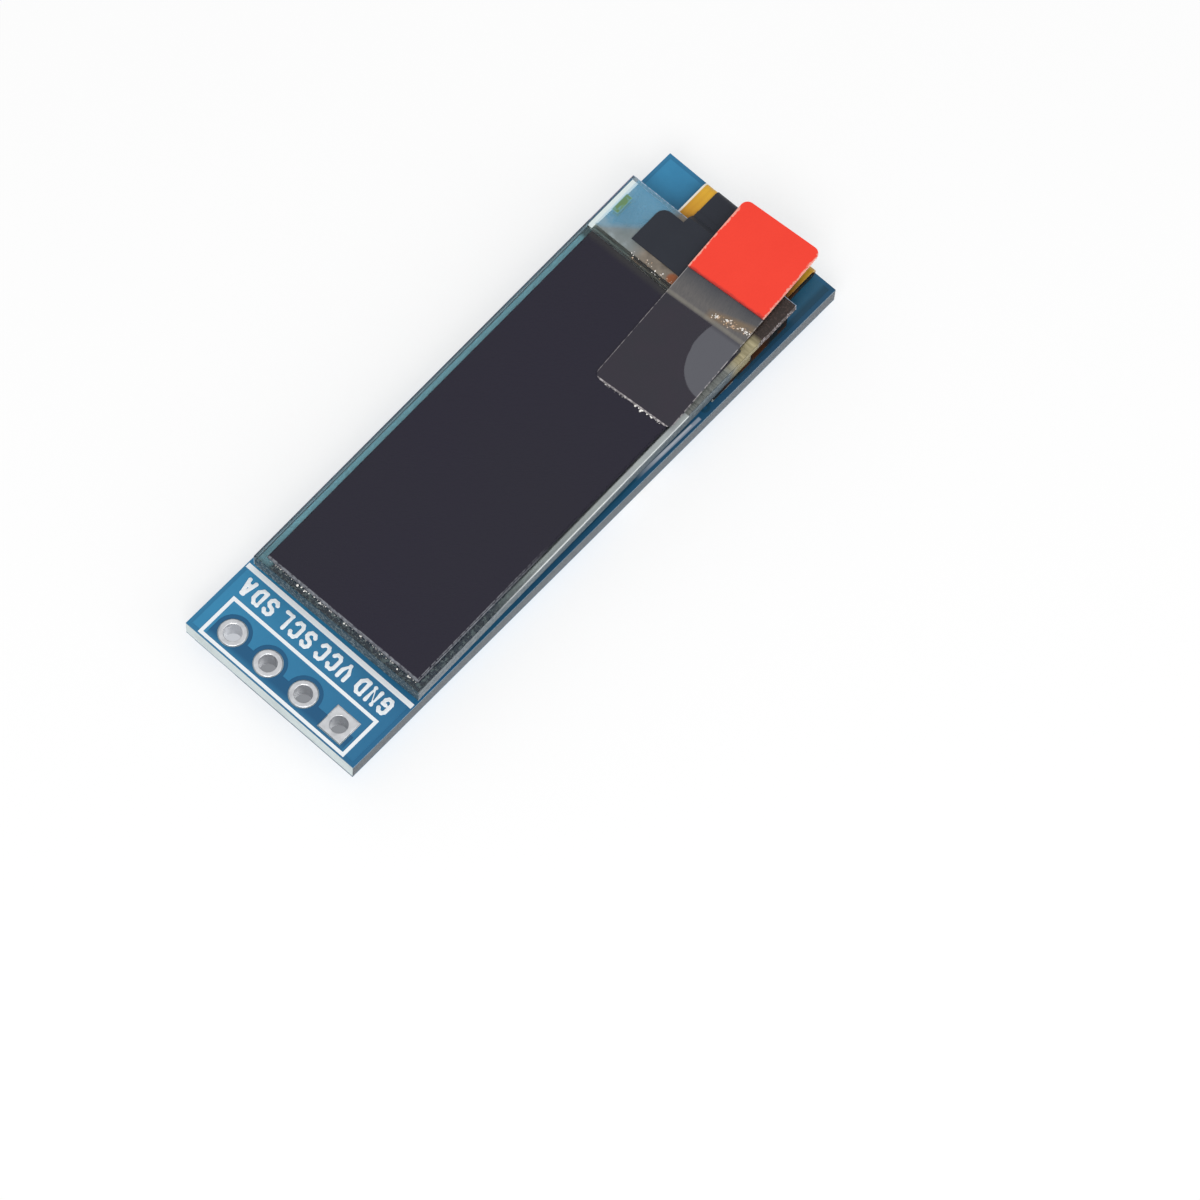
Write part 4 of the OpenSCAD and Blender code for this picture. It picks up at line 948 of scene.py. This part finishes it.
def tinRound():
    # a flattened ring of tin round the hole, cut level with its pad
    wide = (tinRing["outer"] - tinRing["inner"]) / 2
    bpy.ops.mesh.primitive_torus_add(major_segments=tinRing["segments"],
                                     minor_segments=tinRing["minorSegments"],
                                     major_radius=tinRing["inner"] + wide,
                                     minor_radius=wide)
    ring = bpy.context.object
    ring.scale = (1, 1, tinRing["rise"] / wide)
    applyPlace(ring)
    return sliced(ring, (0, -1))


def tinSquare():
    # the first pin's pad is square: a rounded plate with the hole cut through
    bpy.ops.mesh.primitive_cube_add(size=2)
    plate = bpy.context.object
    plate.scale = (tinRing["outer"], tinRing["outer"], tinRing["rise"])
    applyPlace(plate)
    bpy.ops.mesh.primitive_cylinder_add(vertices=tinRing["segments"],
                                        radius=tinRing["inner"], depth=1)
    drill = bpy.context.object
    hole = plate.modifiers.new("hole", "BOOLEAN")
    hole.operation = "DIFFERENCE"
    hole.object = drill
    rounded = plate.modifiers.new("rounded", "BEVEL")
    rounded.width = tinRing["edge"]
    rounded.segments = 4
    applyAll(plate)
    bpy.data.objects.remove(drill)
    return sliced(plate, (0, -1))


print("tinning, soldering and placing specks")
for i, name in enumerate(("gnd", "vcc", "scl", "sda")):
    place = Matrix.Translation((0, board["pinPitch"] * i, 0))
    shape = tinSquare if i == 0 else tinRound
    upper = shape()
    upper.matrix_world = place @ Matrix.Translation((0, 0, board["core"] + tinRing["padTop"]))
    lower = shape()
    lower.matrix_world = (place @ Matrix.Translation((0, 0, -tinRing["padTop"]))
                          @ Matrix.Rotation(math.pi, 4, "X"))
    applyPlace(upper, lower)
    settle(joined([upper, lower]), "tin_" + name, Matrix.Identity(4), tin,
           tinRing["smooth"])

solderLook = {
    "voxel": 0.028, "ease": 4, "lump": 0.03, "lumpSize": 0.18, "level": 0.55,
    "weld": 0.0005, "smooth": 80}


def softSolder(node, name):
    # a solder joint softened and made lumpy from its solid
    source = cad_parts[node]
    obj = added(name, source.data.copy())
    obj.matrix_world = Matrix.Scale(1 / mm, 4) @ source.matrix_world
    applyPlace(obj)
    bpy.ops.object.mode_set(mode="EDIT")
    bpy.ops.mesh.select_all(action="SELECT")
    bpy.ops.mesh.remove_doubles(threshold=solderLook["weld"])
    bpy.ops.object.mode_set(mode="OBJECT")
    fused(obj, solderLook["voxel"], solderLook["ease"])
    lumps = bpy.data.textures.new("lumps", "CLOUDS")
    lumps.noise_scale = solderLook["lumpSize"]
    push = obj.modifiers.new("lumps", "DISPLACE")
    push.texture = lumps
    push.strength = solderLook["lump"]
    push.mid_level = solderLook["level"]
    applyAll(obj)
    settle(obj, name, Matrix.Identity(4), solder, solderLook["smooth"])
    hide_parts(node)


softSolder("row_solder", "solder_row")
softSolder("group_solder", "solder_group")
softSolder("regulator_solder", "solder_regulator")


def specks(name, rows, move, seed):
    # flattened drops, each with its own size; a row is a rule for its spots and its values
    rng = random.Random(seed)
    parts = []
    for spots, row in rows:
        for x, y, z, r in spots(rng, row):
            bpy.ops.mesh.primitive_ico_sphere_add(subdivisions=2, radius=r,
                                                  location=(x, y, z))
            drop = bpy.context.object
            drop.scale = (rng.uniform(0.7, 1.6), rng.uniform(0.7, 1.3), 0.5)
            drop.rotation_euler = (0, 0, rng.uniform(0, math.pi))
            parts.append(drop)
    applyPlace(*parts)
    return settle(joined(parts), name, move, dropFinish, dropLook["smooth"])


tapeDrops = {
    "count": 60, "inset": (0.5, 0.4), "middle": -0.6, "reach": 1.4, "spread": 0.04,
    "z": panel["tapeZ"] + 0.02, "size": (0.014, 0.034), "most": 0.08}
filmDrops = {
    "count": 110, "u": 0.36, "v": (-5.3, 5.1), "spread": 0.03, "z": panel["ledgeZ"] + 0.015,
    "size": (0.012, 0.03), "bigEvery": 13, "extra": 0.03}
# bubbles of resin by the cap glass's end, thickest near the cable's lower side
resinTrail = {
    "count": 80, "start": (26.75, -2.9), "run": (0.55, -2.3), "spread": (0.1, 0.05),
    "z": panel["tabZ"], "size": (0.014, 0.05)}
resinLine = {
    "count": 26, "u": 26.75, "v": (0.0, 2.9), "spread": 0.13, "z": panel["ledgeZ"] + 0.01,
    "size": (0.015, 0.045), "bigEvery": 1, "extra": 0.0}


def tornSpots(rng, row):
    # along the tape's torn end, biggest near its middle
    half = tape["width"] / 2
    for k in range(row["count"]):
        y = rng.uniform(-half + row["inset"][0], half - row["inset"][1])
        strong = 0.7 + 1.5 * max(0.0, 1 - abs(y - row["middle"]) / row["reach"])
        yield (rng.gauss(0.0, row["spread"]), y, row["z"],
               min(row["most"], rng.uniform(*row["size"]) * strong))


def lineSpots(rng, row):
    # along a line across the panel, now and then a bigger one
    for k in range(row["count"]):
        big = row["extra"] if k % row["bigEvery"] == 0 else 0.0
        yield (row["u"] + rng.gauss(0, row["spread"]) - big, rng.uniform(*row["v"]),
               row["z"], rng.uniform(*row["size"]) + big)


def trailSpots(rng, row):
    # thickest at the far end of its run
    for k in range(row["count"]):
        t = rng.random() ** 0.8
        x, y = [row["start"][i] + row["run"][i] * t + rng.gauss(0, row["spread"][i])
                for i in range(2)]
        yield x, y, row["z"], rng.uniform(*row["size"])


dropLook = {
    "clear": (0.9, 0.88, 0.84), "stained": (0.55, 0.36, 0.22), "stainStart": 29.0,
    "rough": 0.15, "gloss": 0.8, "smooth": 60}


def adhesiveFinish():
    f = Finish("adhesiveDrops")
    x, y, z = f.axes()
    stained = f.noise(2.5, 3).above(0.5, 0.1) * x.above(dropLook["stainStart"])
    tone = f.mix(stained, dropLook["clear"], dropLook["stained"])
    return f.skin(dropLook, tone, f.noise(9.0), 0.02, 0.5, 0.1 * f.noise(4.0))


dropFinish = adhesiveFinish()
specks("tape_edge_drops", [(tornSpots, tapeDrops)], tapeMove, 3)
specks("film_edge_drops", [(lineSpots, filmDrops)], panelMove, 5)
specks("resin_drops", [(trailSpots, resinTrail), (lineSpots, resinLine)], panelMove,
       7)

print("setting the stage")
stageLook = {
    "floorZ": -1.15, "floorSize": 3, "paper": (0.82, 0.82, 0.82),
    "litPaper": (0.4, 0.4, 0.4), "glow": 0.6, "dome": 0.62, "background": 1.0,
    "underBoard": (18.7, 5.7), "shadeGlow": 0.85, "shadeFar": 6.6,
    "shade": ((0.3, 0.31, 0.33), (0.66, 0.68, 0.72))}
backgroundRays = ("Is Camera Ray", "Is Glossy Ray", "Is Transmission Ray")


def seenRays(f):
    # 1 for the rays that see the background as it is
    camera, glossy, through = [f.node("LightPath", None, None, k) for k in backgroundRays]
    return (camera + glossy + through).clamped()


def floorFinish():
    look = stageLook
    f = Finish("floorPaper")
    seen = seenRays(f)
    paper = f.shader(colour=look["paper"], rough=0.9, gloss=0.1)
    lit = f.shader(colour=look["litPaper"], rough=0.9, gloss=0.0, glow=(1, 1, 1),
                   glowPower=look["glow"])
    # under the board the paper is only as bright as the light that gets there
    x, y, z = f.axes()
    covered = ((x - midX).size().below(look["underBoard"][0])
               * (y - board["midY"]).size().below(look["underBoard"][1]))
    top = f.blend(seen * (1.0 - covered), paper, lit)
    dim = f.mix(y.above(look["shadeFar"], 0.4), *look["shade"])
    shade = f.shader(colour=(0.03, 0.03, 0.03), rough=0.9, gloss=0.0, glow=dim,
                     glowPower=look["shadeGlow"])
    top = f.blend(seen * covered, top, shade)
    # seen from below, and by the lamps below, the floor isn't there
    behind = f.node("NewGeometry", None, None, "Backfacing")
    gone = (behind + f.node("LightPath", None, None, "Is Shadow Ray")).clamped()
    return f.done(f.blend(gone, top, f.node("BsdfTransparent")))


def studioWorld():
    f = Finish("studio", "worlds")
    dome, white = [f.node("Background", None, {"Color": (1, 1, 1, 1),
                                               "Strength": stageLook[key]})
                   for key in ("dome", "background")]
    return f.done(f.blend(seenRays(f), dome, white), "OutputWorld")


bpy.ops.mesh.primitive_plane_add(size=stageLook["floorSize"],
                                 location=(0, 0, stageLook["floorZ"] * mm))
floor = bpy.context.object
floor.name = "floor"
applyPlace(floor)
floor.data.materials.append(floorFinish())
bpy.context.scene.world = studioWorld()

# places and sizes in metres
softboxes = {
    "keyLight": {"spot": (-0.22, -0.16, 0.32), "size": 0.22, "power": 0.78},
    "fillLight": {"spot": (0.1, -0.35, 0.2), "size": 0.25, "power": 0.28},
    "lightBelow": {"spot": (0.12, -0.18, -0.32), "size": 0.36, "power": 2.0},
}
aim = Vector((0.015, 0.004, 0))
for name, box in softboxes.items():
    light = bpy.data.lights.new(name, "AREA")
    light.shape = "SQUARE"
    light.size = box["size"]
    light.energy = box["power"]
    lamp = added(name, light)
    lamp.location = box["spot"]
    lamp.rotation_euler = (aim - Vector(box["spot"])).to_track_quat("-Z", "Y").to_euler()

eye = {
    "azimuth": -52.924, "elevation": 66.568, "roll": 5.637,
    "target": (14.575, -5.167, 1.21), "distance": 353.45, "lens": 201.375}
around, up = math.radians(eye["azimuth"]), math.radians(eye["elevation"])
back = Vector((math.sin(around) * math.cos(up), -math.cos(around) * math.cos(up),
               math.sin(up)))
lens = bpy.data.cameras.new("camera")
lens.sensor_width = 36
lens.lens = eye["lens"]
lens.clip_start = 0.01
camera = added("camera", lens)
camera.rotation_mode = "QUATERNION"
rolled = Matrix.Rotation(math.radians(eye["roll"]), 4, "Z").to_quaternion()
camera.rotation_quaternion = (-back).to_track_quat("-Z", "Y") @ rolled
camera.location = Vector(eye["target"]) * mm + back * eye["distance"] * mm
bpy.context.scene.camera = camera
bpy.context.scene.view_settings.view_transform = "Standard"
